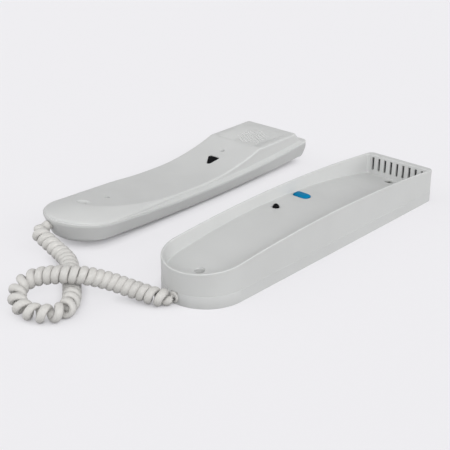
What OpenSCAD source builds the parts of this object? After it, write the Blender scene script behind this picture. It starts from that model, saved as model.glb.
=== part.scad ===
// Audio intercom handset lying beside its wall cradle, with the curly cord between them.
// Millimetres, +Z up. The origin is the middle of the cradle's back face. X runs from the
// cradle's rounded cord end to its squared ringer end, and the handset lies on its back at +Y.

/* [Cradle] */
// Length of the cradle and of the handset
cradle_len = 215; // [200:1:235]
// Width of the cradle and of the handset
cradle_w = 50; // [47:1:56]
// Thickness of the cradle's walls
wall = 2; // [1.8:0.1:2.6]
// Corner radius of the squared end
corner_r = 4; // [3.6:0.1:6]
// Height of the arched rim at its crown
rim_z = 26.6; // [25.6:0.1:29]
// Radius of the arch that the rim and the handset's edge share
arch_r = 1000; // [850:10:1400]
// Station of the arch's crown
arch_x = 8; // [0:1:14]
// Height of the seam between housing and back plate
seam_z = 7.2; // [6.9:0.1:7.8]
// Gap that shows as the seam line
seam_gap = 0.15; // [0.1:0.05:0.4]
// Height of the tray floor at its crown
floor_z = 19.2; // [18.2:0.1:20]
// Radius of the arched tray floor
floor_r = 520; // [480:10:700]
// Station of the floor's crown
floor_x = -4; // [-10:1:4]
// Thickness of the tray floor
floor_t = 2; // [1.6:0.1:2.4]
// Thickness of the back plate
plate_t = 2; // [1.6:0.1:2.6]

/* [Ringer slots] */
// Number of upright slots
slot_count = 9; // [5:2:9]
// Spacing of the slots
slot_pitch = 4.8; // [4:0.1:5]
// Width of one slot
slot_w = 1.8; // [1.2:0.1:2.4]
// Lower end of the slots
slot_low = 11.3; // [10.8:0.1:13]
// Upper end of the slots
slot_high = 20.3; // [17:0.1:20.5]
// Thickness of the slotted wall
sound_wall = 1.6; // [1.2:0.1:2]
// Width of the dark channel behind the slotted wall
channel = 2.4; // [1.6:0.1:2.6]
// Thickness of the dust cloth in the channel
cloth_t = 0.5; // [0.3:0.1:0.8]
// Diameter of the ringer capsule
ringer_d = 18; // [14:1:18]
// Height of the ringer capsule
ringer_h = 5; // [3:0.5:6]

/* [Fixings] */
// Distance of the housing screw from the rounded tip
screw_from_tip = 19.5; // [18:0.5:24]
// Distance of the housing screw from the squared end
screw_from_end = 14.5; // [13:0.5:18]
// Diameter of a housing screw's head
head_d = 5.2; // [4.6:0.1:5.6]
// Height of a housing screw's head
head_h = 1.8; // [1.4:0.1:2]
// Diameter of a screw's shank
shank_d = 2.9; // [2.4:0.1:3]
// Diameter of a face screw's head
face_head_d = 2.8; // [2.4:0.1:3.6]
// Diameter of a face screw's shank
face_shank_d = 1.9; // [1.6:0.1:2]
// Wall thickness round a screw
boss_wall = 1.6; // [1.2:0.1:2]
// Spacing of the two wall screw holes
wall_pitch = 120; // [116:1:124]
// Diameter of the wall screw holes
wall_hole = 4.5; // [4:0.1:5.5]
// Diameter of the cable entry
cable_hole = 14; // [10:1:14]

/* [Board] */
// Length of the circuit board
board_l = 88; // [84:1:92]
// Width of the circuit board
board_w = 38; // [37:1:40]
// Thickness of the circuit board
board_t = 1.6; // [1:0.1:2]
// Height of the posts that carry the board
post_h = 2.4; // [1.6:0.1:2.8]
// Height of the terminal block
terminal_h = 7; // [6:0.5:8]
// Height of the hook switch
hook_switch_h = 5; // [4:0.1:5.2]
// Height of the door switch
door_switch_h = 4.3; // [3.5:0.1:5]
// Diameter of a capacitor
cap_d = 8; // [6:0.5:9]
// Height of a capacitor
cap_h = 7; // [5:0.5:7.5]

/* [Keys] */
// Diameter of the hook plunger
plunger_d = 4; // [3.6:0.1:4.4]
// Height of the hook plunger above the tray floor
plunger_up = 2.1; // [2:0.1:3]
// Travel of the hook plunger
plunger_travel = 1.8; // [1.4:0.1:2]
// Length of the door button across the tray
button_l = 11.4; // [10:0.1:11.6]
// Width of the door button along the tray
button_w = 6.6; // [6:0.1:7.6]
// Height of the door button above the tray floor
button_up = 1.4; // [1.3:0.1:2]
// Travel of the door button
button_travel = 1; // [0.7:0.1:1.2]
// Running gap round a key
key_gap = 0.25; // [0.15:0.05:0.4]
// Width of the flange that keeps a key in
key_flange = 1.2; // [1:0.1:1.6]

/* [Handset] */
// Depth of the back shell at its middle, below the parting edge
back_depth = 11.3; // [11.2:0.1:13]
// Radius of the lengthwise curve of the back
back_r = 1500; // [1200:50:2500]
// Rounding of the back's long edges
back_round = 11; // [8:0.5:11]
// Rounding of the back's ear end
end_round = 7; // [4:0.5:8]
// Wall thickness of both handset shells
shell_t = 2; // [1.6:0.1:2.4]
// Gap between the two shells at the parting edge
part_gap = 0.2; // [0.1:0.05:0.4]
// Thickness of the face cover's flange
flange_t = 1.2; // [1:0.1:1.8]
// Play between the face cover and the tray it hangs in
seat_gap = 0.4; // [0.3:0.05:0.6]
// Free length in front of the ringer slots when the handset hangs in the tray
ear_gap = 4; // [2:0.1:5]
// Yaw of the handset where it lies
handset_yaw = 1.3; // [0:0.1:2]

/* [Face] */
// Height of the face above the back at the bottom of its scoop
scoop_z = 15.6; // [15:0.1:16.4]
// Height of the ear platform
ear_z = 24.3; // [23:0.1:25]
// Distance of the ear platform's crest from the ear end
ear_from_end = 52; // [48:0.5:55]
// Depth of the wedge-shaped ear recess
ear_depth = 3; // [2:0.1:3.2]
// Length of the ear recess
ear_len = 32; // [28:0.5:34]
// Width of the ear recess
ear_w = 38; // [34:0.5:38]
// Diameter of a sound hole
hole_d = 1.2; // [0.8:0.1:1.5]
// Spacing of the sound holes
hole_pitch = 2.6; // [2.2:0.1:2.6]
// Height of the mouthpiece crown
chin_z = 24; // [23:0.1:24.5]
// Radius of the mouthpiece crown
chin_r = 50; // [46:1:60]
// Diameter of the mouthpiece dimple
dimple_d = 12; // [8:0.5:13]
// Depth of the mouthpiece dimple
dimple_h = 1.4; // [0.8:0.1:1.6]
// Length of the rounded-triangle insert
insert_l = 10.6; // [9:0.1:11]
// Width of the rounded-triangle insert
insert_w = 9; // [8:0.1:11]
// Diameter of the receiver capsule
receiver_d = 26; // [24:0.5:28]
// Height of the receiver capsule
receiver_h = 8; // [6:0.5:9]
// Diameter of the microphone capsule
mic_d = 9.7; // [8:0.1:10]
// Height of the microphone capsule
mic_h = 6; // [4:0.5:6.5]

/* [Cord] */
// Diameter of the cord
cord_d = 3.4; // [3.2:0.1:3.5]
// Outer diameter of the curls
curl_od = 10.2; // [9.8:0.1:10.2]
// Length of the handset gland's nose outside its wall
nose_len = 3; // [2.4:0.1:4]
// Length of the cradle gland's rim outside its wall
cradle_nose = 1.2; // [1:0.1:2]
// Diameter of a gland's nose where it meets its wall
nose_d = 6.4; // [5.8:0.1:6.6]

/* [Hidden] */
// Height of the cradle's cord gland
gland_z = 4;
// Height of the handset's cord gland above the back
handset_gland_z = 14;
// Turn of the handset's cord gland away from the centre line
gland_turn = 12;
// Place of the handset where it lies
handset_at = [-2.2, 101.3];
// Clearance of a press or sliding fit
fit = 0.1;
// Clearance of a screw in the hole that it passes
screw_gap = 0.15;
// Thickness of a gland's inner collar
collar_t = 1.2;
// Distance of the ringer's middle from the squared end
ringer_from_end = 28.5;
// Distance of the mouthpiece crown's top from the round tip
chin_from_tip = 23.5;
// Distance of the mouthpiece's face screw from the round tip
mic_screw_from_tip = 43.5;
// Distance of the ear's face screw from the squared end
ear_screw_from_end = 64.5;
// Depth of a face screw's seat below the face
face_screw_sunk = 3.2;
// Distance of the ear recess from the platform's crest
ear_from_crest = 2;
// Distance of the receiver's middle from the platform's crest
receiver_from_crest = 19.5;
// Distance of the insert's middle from the platform's crest
insert_from_crest = 25.5;
// Corner radius of the insert
insert_r = 1.5;
// Side step of the insert's point from the centre line
insert_step = -2.4;
// Distance of a board screw from the board's end, and from its long edge
board_screw_in = 5;
board_screw_side = 4;
// Distance of the terminals and of the capacitors from the ends of the board
terminal_in = 11;
cap_in = 12;
// Length of the tongues that centre the housing on the plate
tongue_len = 140;
// Diameter of the door button's stem
button_stem = 4;
// Corner radius of the door button
button_r = 2.6;
// The back's swept sides stay this far inside the outline that rounds its ear corners
corner_ease = 0.02;
// Play of a loose inner piece in its pocket
pocket_gap = 0.2;
// Station where the back of the handset lies lowest
back_x = 15;
// Facets of the large arcs, of plain rounds and of small rounds
arc_fn = 720;
round_fn = 96;
small_fn = 32;
// A cut runs this far past the face that it opens
over = 1;

round_x = -cradle_len / 2 + cradle_w / 2;
end_x = cradle_len / 2;
end_wall = wall + channel + sound_wall;
sound_x = end_x - end_wall;
board_z = plate_t + post_h;
board_top = board_z + board_t;
screw_at = [-end_x + screw_from_tip, end_x - screw_from_end];
screw_seat = seam_z + 0.8;
boss_d = head_d + 2 * screw_gap + 2 * boss_wall;
shank_hole = shank_d + 2 * screw_gap;
face_boss_d = face_head_d + 2 * screw_gap + 2 * boss_wall;
slot_span = (slot_count - 1) * slot_pitch + slot_w;
board_mid = 6;
wall_mid = 5;
cable_x = -70;
ringer_x = end_x - ringer_from_end;
plunger_at = [-5.9, cradle_w / 2 - 9.8];
button_at = [19.7, cradle_w / 2 - 9.4];
board_low = board_mid - board_l / 2;
board_high = board_mid + board_l / 2;
terminal_at = [board_low + terminal_in, 0];
connector_at = [board_low + terminal_in, 5 - board_w / 2];
cap_at = [[board_high - cap_in, -8], [board_high - cap_in, 4]];
board_screw_at = [[board_low + board_screw_in, board_w / 2 - board_screw_side],
                  [board_high - board_screw_in, board_screw_side - board_w / 2]];

plug_inset = wall + seat_gap;
plug_end = end_wall + ear_gap;
plug_half = cradle_w / 2 - plug_inset;
chin_x = -end_x + chin_from_tip;
crest_x = end_x - ear_from_end;
ear_x = crest_x + ear_from_crest;
ear_mid = crest_x + receiver_from_crest;
mic_x = chin_x - 0.5;
insert_x = crest_x - insert_from_crest;
face_screw_at = [-end_x + mic_screw_from_tip, end_x - ear_screw_from_end];
scoop_mic_r = arc_through(chin_x, chin_z - scoop_z);
scoop_ear_r = arc_through(crest_x, ear_z - scoop_z);
chin_edge = chin_r - sqrt(chin_r * chin_r - plug_half * plug_half);
chin_tilt = atan((chin_z - scoop_z - chin_edge) / -chin_x);
ear_roof = ear_z - ear_depth - shell_t;
ring_h = 1.2;
mic_roof = chin_z - dimple_h - shell_t - 1;
boot_d = mic_d + 2.4;
boot_h = mic_h + 1.6;
tip_edge_z = back_depth + arc_rise(round_x - cradle_w / 2 - arch_x, arch_r);
end_tilt = atan((round_x - back_x) / (back_r - tip_edge_z));

// Rise of an arc of radius r at distance x from its lowest point
function arc_rise(x, r) = r - sqrt(r * r - x * x);
// Radius of the arc that starts level at the origin and passes through (x, h)
function arc_through(x, h) = x * x / (2 * h) + h / 2;
function floor_at(x) = floor_z - arc_rise(x - floor_x, floor_r);
function edge_at(x) = back_depth + arc_rise(x - arch_x, arch_r);
function back_at(x) = arc_rise(x - back_x, back_r);
function scoop_at(x) = scoop_z + arc_rise(x, x < 0 ? scoop_mic_r : scoop_ear_r);

// Round bar across the width, with its axis at (x, z)
module bar(x, z, r) {
    rotate([90, 0, 0]) translate([x, z, 0])
        cylinder(r = r, h = cradle_w + 20, center = true, $fn = arc_fn);
}

// Outline that the cradle and the handset share, drawn in by inset, and by end_inset at the
// squared end
module plan(inset, end_inset) {
    half = cradle_w / 2 - inset;
    far = end_x - end_inset;
    r = max(corner_r - inset, 1);
    translate([round_x, 0]) circle(r = half, $fn = round_fn);
    translate([round_x, -half]) square([far - r - round_x, 2 * half]);
    translate([round_x, -half + r]) square([far - round_x, 2 * half - 2 * r]);
    for (side = [-1, 1]) translate([far - r, side * (half - r)]) circle(r = r, $fn = small_fn);
}

// Upright prism of that outline
module prism(inset, end_inset, low, high) {
    translate([0, 0, low]) linear_extrude(high - low) plan(inset, end_inset);
}

// Rounded oblong outline of the door button, grown by g
module button_outline(g) {
    r = button_r;
    square([button_w - 2 * r, button_l + 2 * g], center = true);
    square([button_w + 2 * g, button_l - 2 * r], center = true);
    for (sx = [-1, 1], sy = [-1, 1])
        translate([sx * (button_w / 2 - r), sy * (button_l / 2 - r)])
            circle(r = r + g, $fn = small_fn);
}

// Lopsided triangle with round corners that points to -X, grown by g
module insert_outline(g) {
    r = insert_r;
    left = atan((insert_w / 2 - r - insert_step) / (insert_l - 2 * r));
    right = atan((insert_w / 2 - r + insert_step) / (insert_l - 2 * r));
    function corner(x, y, from, to) =
        [for (k = [0:6]) let(a = from + (to - from) * k / 6) [x, y] + (r + g) * [cos(a), sin(a)]];
    polygon(concat(corner(insert_l / 2 - r, insert_w / 2 - r, 0, 90 + left),
                   corner(r - insert_l / 2, insert_step, 90 + left, 270 - right),
                   corner(insert_l / 2 - r, r - insert_w / 2, 270 - right, 360)));
}

// Tray that the handset hangs in: arched rim, arched floor and slotted inner end wall
module cradle_housing() {
    color("white") difference() {
        union() {
            difference() {
                intersection() {
                    prism(0, 0, seam_z, rim_z + over);
                    bar(arch_x, rim_z - arch_r, arch_r);
                }
                difference() {
                    prism(wall, end_wall, seam_z - over, rim_z + 2 * over);
                    bar(floor_x, floor_z - floor_r, floor_r);
                }
                intersection() {
                    prism(wall, wall, seam_z - over, rim_z);
                    bar(floor_x, floor_z - floor_r, floor_r - floor_t);
                }
            }
            intersection() {
                union() {
                    for (x = screw_at) translate([x, 0, seam_z])
                        cylinder(d = boss_d, h = rim_z, $fn = round_fn);
                    translate([plunger_at.x, plunger_at.y, plunger_seat()])
                        cylinder(d = plunger_d + 2 * (key_gap + key_flange), h = rim_z,
                                 $fn = small_fn);
                    translate([button_at.x, button_at.y, button_seat()])
                        linear_extrude(rim_z) button_outline(key_gap + key_flange);
                }
                bar(floor_x, floor_z - floor_r, floor_r);
                prism(wall / 2, wall / 2, seam_z, rim_z);
            }
        }
        for (x = screw_at) translate([x, 0, 0]) {
            translate([0, 0, screw_seat])
                cylinder(d = head_d + 2 * screw_gap, h = rim_z, $fn = small_fn);
            cylinder(d = shank_hole, h = rim_z, $fn = small_fn);
        }
        translate([plunger_at.x, plunger_at.y, 0])
            cylinder(d = plunger_d + 2 * key_gap, h = rim_z + over, $fn = small_fn);
        translate([button_at.x, button_at.y, 0])
            linear_extrude(rim_z + over) button_outline(key_gap);
        translate([sound_x + sound_wall, -slot_span / 2 - 1, seam_z - over])
            cube([channel, slot_span + 2, slot_high + 0.4 - seam_z + over]);
        for (i = [0:slot_count - 1])
            translate([sound_x - over, (i - (slot_count - 1) / 2) * slot_pitch - slot_w / 2, slot_low])
                cube([sound_wall + 2 * over, slot_w, slot_high - slot_low]);
    }
}

// Flat seats under the tray floor for the flanges of the two keys
function plunger_seat() = floor_at(plunger_at.x - plunger_d) - floor_t;
function button_seat() = floor_at(button_at.x + button_w) - floor_t;

// Lower shell that is screwed to the wall, with posts for the board and the housing
module back_plate() {
    rib = 1.2;
    color("whitesmoke") difference() {
        union() {
            difference() {
                prism(0, 0, 0, seam_z - seam_gap);
                prism(wall, wall, plate_t, seam_z + over);
            }
            for (x = screw_at) translate([x, 0, 0])
                cylinder(d = boss_d, h = seam_z, $fn = round_fn);
            for (p = board_screw_at) translate([p.x, p.y, 0])
                cylinder(d = shank_d + 2 * boss_wall, h = board_z, $fn = small_fn);
            for (p = board_screw_at) translate([p.x, -p.y, 0])
                cylinder(d = shank_d + 2 * boss_wall, h = board_z, $fn = small_fn);
            translate([ringer_x, 0, 0])
                cylinder(d = ringer_d + 2 * (pocket_gap + rib), h = plate_t + 2, $fn = round_fn);
            // tongues that centre the housing on the plate
            for (side = [-1, 1])
                translate([-tongue_len / 2, side * (cradle_w / 2 - wall - fit) - (side > 0 ? rib : 0),
                           plate_t - fit])
                    cube([tongue_len, rib, seam_z + 1.5 - plate_t]);
        }
        translate([ringer_x, 0, plate_t])
            cylinder(d = ringer_d + 2 * pocket_gap, h = seam_z, $fn = round_fn);
        for (x = screw_at) translate([x, 0, plate_t])
            cylinder(d = shank_d + 2 * fit, h = seam_z, $fn = small_fn);
        for (p = board_screw_at) translate([p.x, p.y, plate_t / 2])
            cylinder(d = shank_d + 2 * fit, h = seam_z, $fn = small_fn);
        for (side = [-1, 1]) translate([wall_mid + side * wall_pitch / 2, 0, -over])
            cylinder(d = wall_hole, h = plate_t + 2 * over, $fn = small_fn);
        translate([cable_x, 0, -over])
            cylinder(d = cable_hole, h = plate_t + 2 * over, $fn = round_fn);
        // pocket for the collar of the cord gland, and the slot that the gland drops into
        translate([-end_x + wall, 0, gland_z]) rotate([0, 90, 0])
            cylinder(d = nose_d + 2 * pocket_gap, h = collar_t + 2 * pocket_gap, $fn = small_fn);
        translate([-end_x - over, 0, gland_z]) rotate([0, 90, 0])
            cylinder(d = neck_d() + 2 * fit, h = wall + 2 * over, $fn = small_fn);
        translate([-end_x - over, -neck_d() / 2 - fit, gland_z])
            cube([wall + 2 * over, neck_d() + 2 * fit, seam_z]);
    }
}

// Pan-head screw whose head rests at z = 0 with its shank below
module screw(d, h, shank, len) {
    difference() {
        union() {
            cylinder(d = d, h = h, $fn = small_fn);
            translate([0, 0, -len]) cylinder(d = shank, h = len + h / 2, $fn = small_fn);
        }
        for (a = [0, 90]) rotate(a) translate([-d * 0.32, -0.35, h * 0.45])
            cube([d * 0.64, 0.7, h]);
    }
}

module housing_screws() {
    color("silver") for (x = screw_at) translate([x, 0, screw_seat])
        screw(head_d, head_h, shank_d, screw_seat - plate_t - 0.6);
}

module circuit_board() {
    color("darkgreen") difference() {
        translate([board_mid - board_l / 2, -board_w / 2, board_z]) cube([board_l, board_w, board_t]);
        for (p = board_screw_at) translate([p.x, p.y, 0])
            cylinder(d = shank_hole, h = seam_z + board_top, $fn = small_fn);
    }
}

module board_screws() {
    color("silver") for (p = board_screw_at) translate([p.x, p.y, board_top])
        screw(head_d, head_h, shank_d, board_top - plate_t / 2 - 0.4);
}

// Screw terminals for the line wires, open towards the cable entry
module terminal_block() {
    color("royalblue") translate([terminal_at.x, terminal_at.y, board_top]) difference() {
        translate([-5, -9, 0]) cube([10, 18, terminal_h]);
        for (i = [0:3]) translate([0, (i - 1.5) * 4.4, 0]) {
            translate([0, 0, terminal_h - 2]) cylinder(d = 3.4, h = 3, $fn = small_fn);
            translate([-6, -1.4, 1]) cube([4, 2.8, 2.8]);
        }
    }
}

module terminal_screws() {
    color("silver") for (i = [0:3])
        translate([terminal_at.x, terminal_at.y + (i - 1.5) * 4.4, board_top + terminal_h - 2])
            difference() {
                cylinder(d = 3.4 - 2 * fit, h = 1.4, $fn = small_fn);
                translate([-2, -0.3, 0.8]) cube([4, 0.6, 1]);
            }
}

module hook_switch() {
    color("dimgray") translate([plunger_at.x, plunger_at.y, board_top]) {
        translate([-5, -3, 0]) cube([13, 6, hook_switch_h - 0.5]);
        translate([-1.5, -1.2, 0]) cube([3, 2.4, hook_switch_h]);
    }
}

// Black nub that the hung handset presses, held in by its flange under the tray floor
module hook_plunger() {
    foot = board_top + hook_switch_h + plunger_travel + 0.2;
    top = floor_at(plunger_at.x) + plunger_up;
    r = plunger_d / 2;
    color("black") translate([plunger_at.x, plunger_at.y, 0]) {
        translate([0, 0, foot]) cylinder(r = r, h = top - r - foot, $fn = small_fn);
        translate([0, 0, top - r]) sphere(r = r, $fn = small_fn);
        translate([0, 0, plunger_seat() - fit - key_flange])
            cylinder(r = r + key_flange, h = key_flange, $fn = small_fn);
    }
}

module door_switch() {
    color("dimgray") translate([button_at.x, button_at.y, board_top]) {
        translate([-3, -3, 0]) cube([6, 6, door_switch_h - 0.8]);
        cylinder(d = 3.4, h = door_switch_h, $fn = small_fn);
    }
}

// Blue lozenge key with a crowned top, held in by its flange under the tray floor
module door_button() {
    foot = board_top + door_switch_h + button_travel + 0.2;
    seat = button_seat() - fit;
    top = floor_at(button_at.x) + button_up;
    crown_r = 20;
    color("steelblue") translate([button_at.x, button_at.y, 0]) {
        intersection() {
            translate([0, 0, seat - key_flange]) linear_extrude(rim_z) button_outline(0);
            translate([0, 0, top - crown_r]) rotate([0, 90, 0])
                cylinder(r = crown_r, h = 2 * button_w, center = true, $fn = 4 * round_fn);
        }
        translate([0, 0, seat - key_flange]) linear_extrude(key_flange) button_outline(key_flange);
        translate([0, 0, foot])
            cylinder(d = button_stem, h = seat - key_flange / 2 - foot, $fn = small_fn);
    }
}

module ringer() {
    color("black") translate([ringer_x, 0, plate_t]) difference() {
        cylinder(d = ringer_d, h = ringer_h, $fn = round_fn);
        translate([0, 0, ringer_h - 1]) cylinder(d = 3, h = 2, $fn = small_fn);
    }
}

// Dark cloth strip that keeps dust out of the ringer slots
module slot_cloth() {
    color("black") translate([sound_x + sound_wall + fit, -slot_span / 2 - 0.6, slot_low - 1])
        cube([cloth_t, slot_span + 1.2, slot_high - slot_low + 1.2]);
}

module cord_connector() {
    color("ivory") translate([connector_at.x, connector_at.y, board_top]) difference() {
        translate([-4, -3.4, 0]) cube([8, 6.8, 5]);
        translate([-5, -2.4, 1]) cube([5, 4.8, 3]);
    }
}

module capacitors() {
    color("navy") for (p = cap_at) translate([p.x, p.y, board_top])
        cylinder(d = cap_d, h = cap_h, $fn = small_fn);
}

function neck_d() = cord_d + 1.2;

// Cord gland along -X whose nose starts at the wall's outside, at the origin: a tapered nose, a
// neck through the wall and a collar that keeps it in
module gland(nose, neck_len, collar_d) {
    rotate([0, -90, 0]) rotate_extrude($fn = small_fn)
        polygon([[0, nose], [cord_d / 2 + 0.6, nose], [nose_d / 2, 0.8], [nose_d / 2, 0],
                 [neck_d() / 2, 0], [neck_d() / 2, -neck_len], [collar_d / 2, -neck_len],
                 [collar_d / 2, -neck_len - collar_t], [0, -neck_len - collar_t]]);
}

module cradle_gland() {
    color("gainsboro") translate([-end_x - fit, 0, gland_z]) gland(cradle_nose, wall + 3 * fit, nose_d);
}

module lay_handset() {
    translate([handset_at.x, handset_at.y, 0]) rotate([0, 0, handset_yaw]) children();
}

// Outline of the handset's back across its width, drawn in by inset: x is the distance from the
// centre of the lengthwise curve
module back_section(inset) {
    half = cradle_w / 2 - inset;
    low = back_r - inset;
    r = back_round - inset;
    tall = 40;
    translate([low - tall, -half]) square([tall - r, 2 * half]);
    translate([low - tall, r - half]) square([tall, 2 * half - 2 * r]);
    for (side = [-1, 1]) translate([low - r, side * (half - r)]) circle(r = r, $fn = round_fn);
}

// Swept body of the handset's back, with its round end turned about the curve's own normal
module back_body(inset) {
    sweep = 2 * asin(end_x / back_r);
    translate([back_x, 0, back_r]) {
        intersection() {
            rotate([90, 0, 0]) rotate([0, 0, 270 + end_tilt])
                rotate_extrude(angle = sweep - end_tilt, $fn = 4 * arc_fn) back_section(inset);
            translate([-back_x, 0, -back_r]) intersection() {
                prism(inset - corner_ease, inset, -over, 2 * ear_z);
                ear_end(inset);
            }
        }
        rotate([0, -end_tilt, 0]) rotate([0, 0, 90]) rotate_extrude(angle = 180, $fn = round_fn)
            intersection() {
                rotate(-90) back_section(inset);
                translate([0, -back_r]) square([cradle_w, 60]);
            }
    }
}

// Side view of the rounded lower corner at the ear end
module ear_end(inset) {
    r = end_round - inset / 2;
    far = end_x - inset;
    low = back_at(end_x - end_round) + inset;
    rotate([90, 0, 0]) linear_extrude(cradle_w + 20, center = true) {
        translate([-end_x - 20, -over]) square([far - r + end_x + 20, 60]);
        translate([0, low + r]) square([far, 60]);
        translate([far - r, low + r]) circle(r = r, $fn = round_fn);
    }
}

module handset_back() {
    gland_hole = neck_d() + 2 * fit;
    color("white") lay_handset() difference() {
        union() {
            difference() {
                back_body(0);
                back_body(shell_t);
            }
            for (x = face_screw_at) intersection() {
                cylinder_at(x, 0, face_post_top(x) - fit, face_boss_d);
                back_body(shell_t / 2);
            }
        }
        bar(arch_x, back_depth - part_gap + arch_r, arch_r);
        for (x = face_screw_at)
            cylinder_at(x, back_at(x) + shell_t + 0.5, back_depth + 40, face_shank_d + 2 * fit);
        translate([round_x, 0, handset_gland_z]) rotate([0, 0, -gland_turn]) rotate([0, -90, 0])
            cylinder(d = gland_hole, h = cradle_w, $fn = small_fn);
    }
}

module cylinder_at(x, low, high, d) {
    translate([x, 0, low]) cylinder(d = d, h = high - low, $fn = small_fn);
}

// Level at which a face boss meets the post of the back
function face_post_top(x) = edge_at(x) - 0.6;

// Block that fills the face above the parting edge: scoop, ear platform and mouthpiece crown,
// drawn in by t
module face_block(t, roof) {
    axis_z = chin_z - chin_r;
    intersection() {
        prism(plug_inset + t, plug_end + t, -over, 40);
        union() {
            intersection() {
                translate([-cradle_len, -cradle_w, -over]) cube([cradle_len, 2 * cradle_w, 60]);
                // crown: a round bar with a ball end, tilted down towards the middle
                translate([chin_x, 0, axis_z]) rotate([0, 90 + chin_tilt, 0])
                    rotate_extrude($fn = 2 * round_fn) {
                        intersection() {
                            circle(r = chin_r - t, $fn = 2 * round_fn);
                            translate([0, -chin_r]) square([chin_r, chin_r]);
                        }
                        square([chin_r - t, 2 * cradle_len]);
                    }
            }
            translate([0, -cradle_w, -over]) cube([cradle_len, 2 * cradle_w, roof + over]);
        }
        // hollow of the scoop: two arcs that meet level in the middle
        difference() {
            translate([-cradle_len, -cradle_w, -2 * over]) cube([2 * cradle_len, 2 * cradle_w, 60]);
            intersection() {
                translate([-cradle_len, -cradle_w, -over]) cube([cradle_len, 2 * cradle_w, 60]);
                bar(0, scoop_z + scoop_mic_r, scoop_mic_r + t);
            }
            intersection() {
                translate([0, -cradle_w, -over]) cube([cradle_len, 2 * cradle_w, 60]);
                bar(0, scoop_z + scoop_ear_r, scoop_ear_r + t);
            }
        }
    }
}

module handset_face() {
    sleeve = 1.4;
    rib = 1.4;
    color("white") lay_handset() difference() {
        union() {
            difference() {
                union() {
                    intersection() {
                        face_block(0, ear_z);
                        bar(arch_x, back_depth + arch_r, arch_r);
                    }
                    intersection() {
                        prism(0, 0, 0, 60);
                        bar(arch_x, back_depth + arch_r, arch_r);
                        difference() {
                            prism(-over, -over, 0, 60);
                            bar(arch_x, back_depth + arch_r, arch_r - flange_t);
                        }
                    }
                }
                face_block(shell_t, ear_roof);
            }
            // bosses, sleeve and pockets under the face
            intersection() {
                union() {
                    for (x = face_screw_at)
                        cylinder_at(x, face_post_top(x), 40, face_boss_d);
                    translate([insert_x, 0, insert_seat()]) linear_extrude(40)
                        insert_outline(fit + sleeve);
                    cylinder_at(ear_mid, ear_roof - receiver_h, 40,
                                receiver_d + 2 * (pocket_gap + rib));
                    cylinder_at(mic_x, mic_roof - boot_h, 40, boot_d + 2 * (fit + rib));
                }
                face_block(shell_t / 2, ear_roof + shell_t / 2);
            }
        }
        for (x = face_screw_at) {
            cylinder_at(x, face_seat(x), 60, face_head_d + 2 * screw_gap);
            cylinder_at(x, 0, 60, face_shank_d + 2 * screw_gap);
        }
        translate([insert_x, 0, 0]) linear_extrude(60) insert_outline(fit);
        cylinder_at(ear_mid, 0, ear_roof, receiver_d + 2 * pocket_gap);
        cylinder_at(mic_x, 0, mic_roof, boot_d + 2 * fit);
        cylinder_at(mic_x, 0, 60, 1.6);
        // mouthpiece dimple
        ball = arc_through(dimple_d / 2, dimple_h);
        translate([mic_x, 0, chin_z - dimple_h + ball]) sphere(r = ball, $fn = round_fn);
        // ear recess, deepest at its crest end
        translate([ear_x + ear_len, 0, ear_z]) rotate([0, -atan(ear_depth / ear_len), 0])
            translate([-ear_len, -ear_w / 2, 0]) cube([ear_len, ear_w, 10]);
        // sound holes
        for (i = [-4:4], j = [-4:4]) if (abs(i + j) <= 4)
            cylinder_at2(ear_mid + hole_pitch * (i + j / 2), hole_pitch * j * sqrt(3) / 2);
    }
}

module cylinder_at2(x, y) {
    translate([x, y, 0]) cylinder(d = hole_d, h = 2 * ear_z, $fn = 16);
}

function face_seat(x) = scoop_at(x) - face_screw_sunk;
function insert_seat() = scoop_at(insert_x - insert_l / 2) - shell_t - 1;

module face_screws() {
    color("silver") lay_handset() for (x = face_screw_at) translate([x, 0, face_seat(x)])
        screw(face_head_d, head_h, face_shank_d, face_seat(x) - back_at(x) - shell_t - 1);
}

// Black insert, sunk a little in its sleeve and held by its flange below it
module face_insert() {
    sunk = 0.6;
    flange = 1.2;
    color("black") lay_handset() {
        difference() {
            translate([insert_x, 0, insert_seat() - flange / 2]) linear_extrude(20) insert_outline(0);
            bar(0, scoop_z + scoop_ear_r, scoop_ear_r + sunk);
        }
        translate([insert_x, 0, insert_seat() - flange - fit]) linear_extrude(flange)
            insert_outline(flange);
    }
}

module receiver_ring() {
    color("dimgray") lay_handset() translate([ear_mid, 0, ear_roof - fit - ring_h]) difference() {
        cylinder(d = receiver_d, h = ring_h, $fn = round_fn);
        translate([0, 0, -over]) cylinder(d = receiver_d - 4, h = ring_h + 2 * over, $fn = round_fn);
    }
}

module receiver() {
    color("black") lay_handset() translate([ear_mid, 0, ear_roof - 2 * fit - ring_h - receiver_h]) {
        cylinder(d = receiver_d, h = receiver_h, $fn = round_fn);
        translate([0, 0, -2]) cylinder(d = receiver_d * 0.6, h = 3, $fn = round_fn);
    }
}

module microphone_boot() {
    color("dimgray") lay_handset() translate([mic_x, 0, mic_roof - fit - boot_h]) difference() {
        cylinder(d = boot_d, h = boot_h, $fn = round_fn);
        translate([0, 0, boot_h - mic_h - fit]) cylinder(d = mic_d + 2 * fit, h = mic_h + 1,
                                                         $fn = round_fn);
    }
}

module microphone() {
    color("silver") lay_handset() translate([mic_x, 0, mic_roof - fit - mic_h])
        cylinder(d = mic_d, h = mic_h, $fn = round_fn);
}

// The nose of the handset's gland starts this far from the centre of the round end
function handset_nose() = cradle_w / 2 + 0.2;

module handset_gland() {
    color("gainsboro") lay_handset() translate([round_x, 0, handset_gland_z])
        rotate([0, 0, -gland_turn]) translate([-handset_nose(), 0, 0])
            gland(nose_len, shell_t + 2.4, nose_d - 0.4);
}

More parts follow.
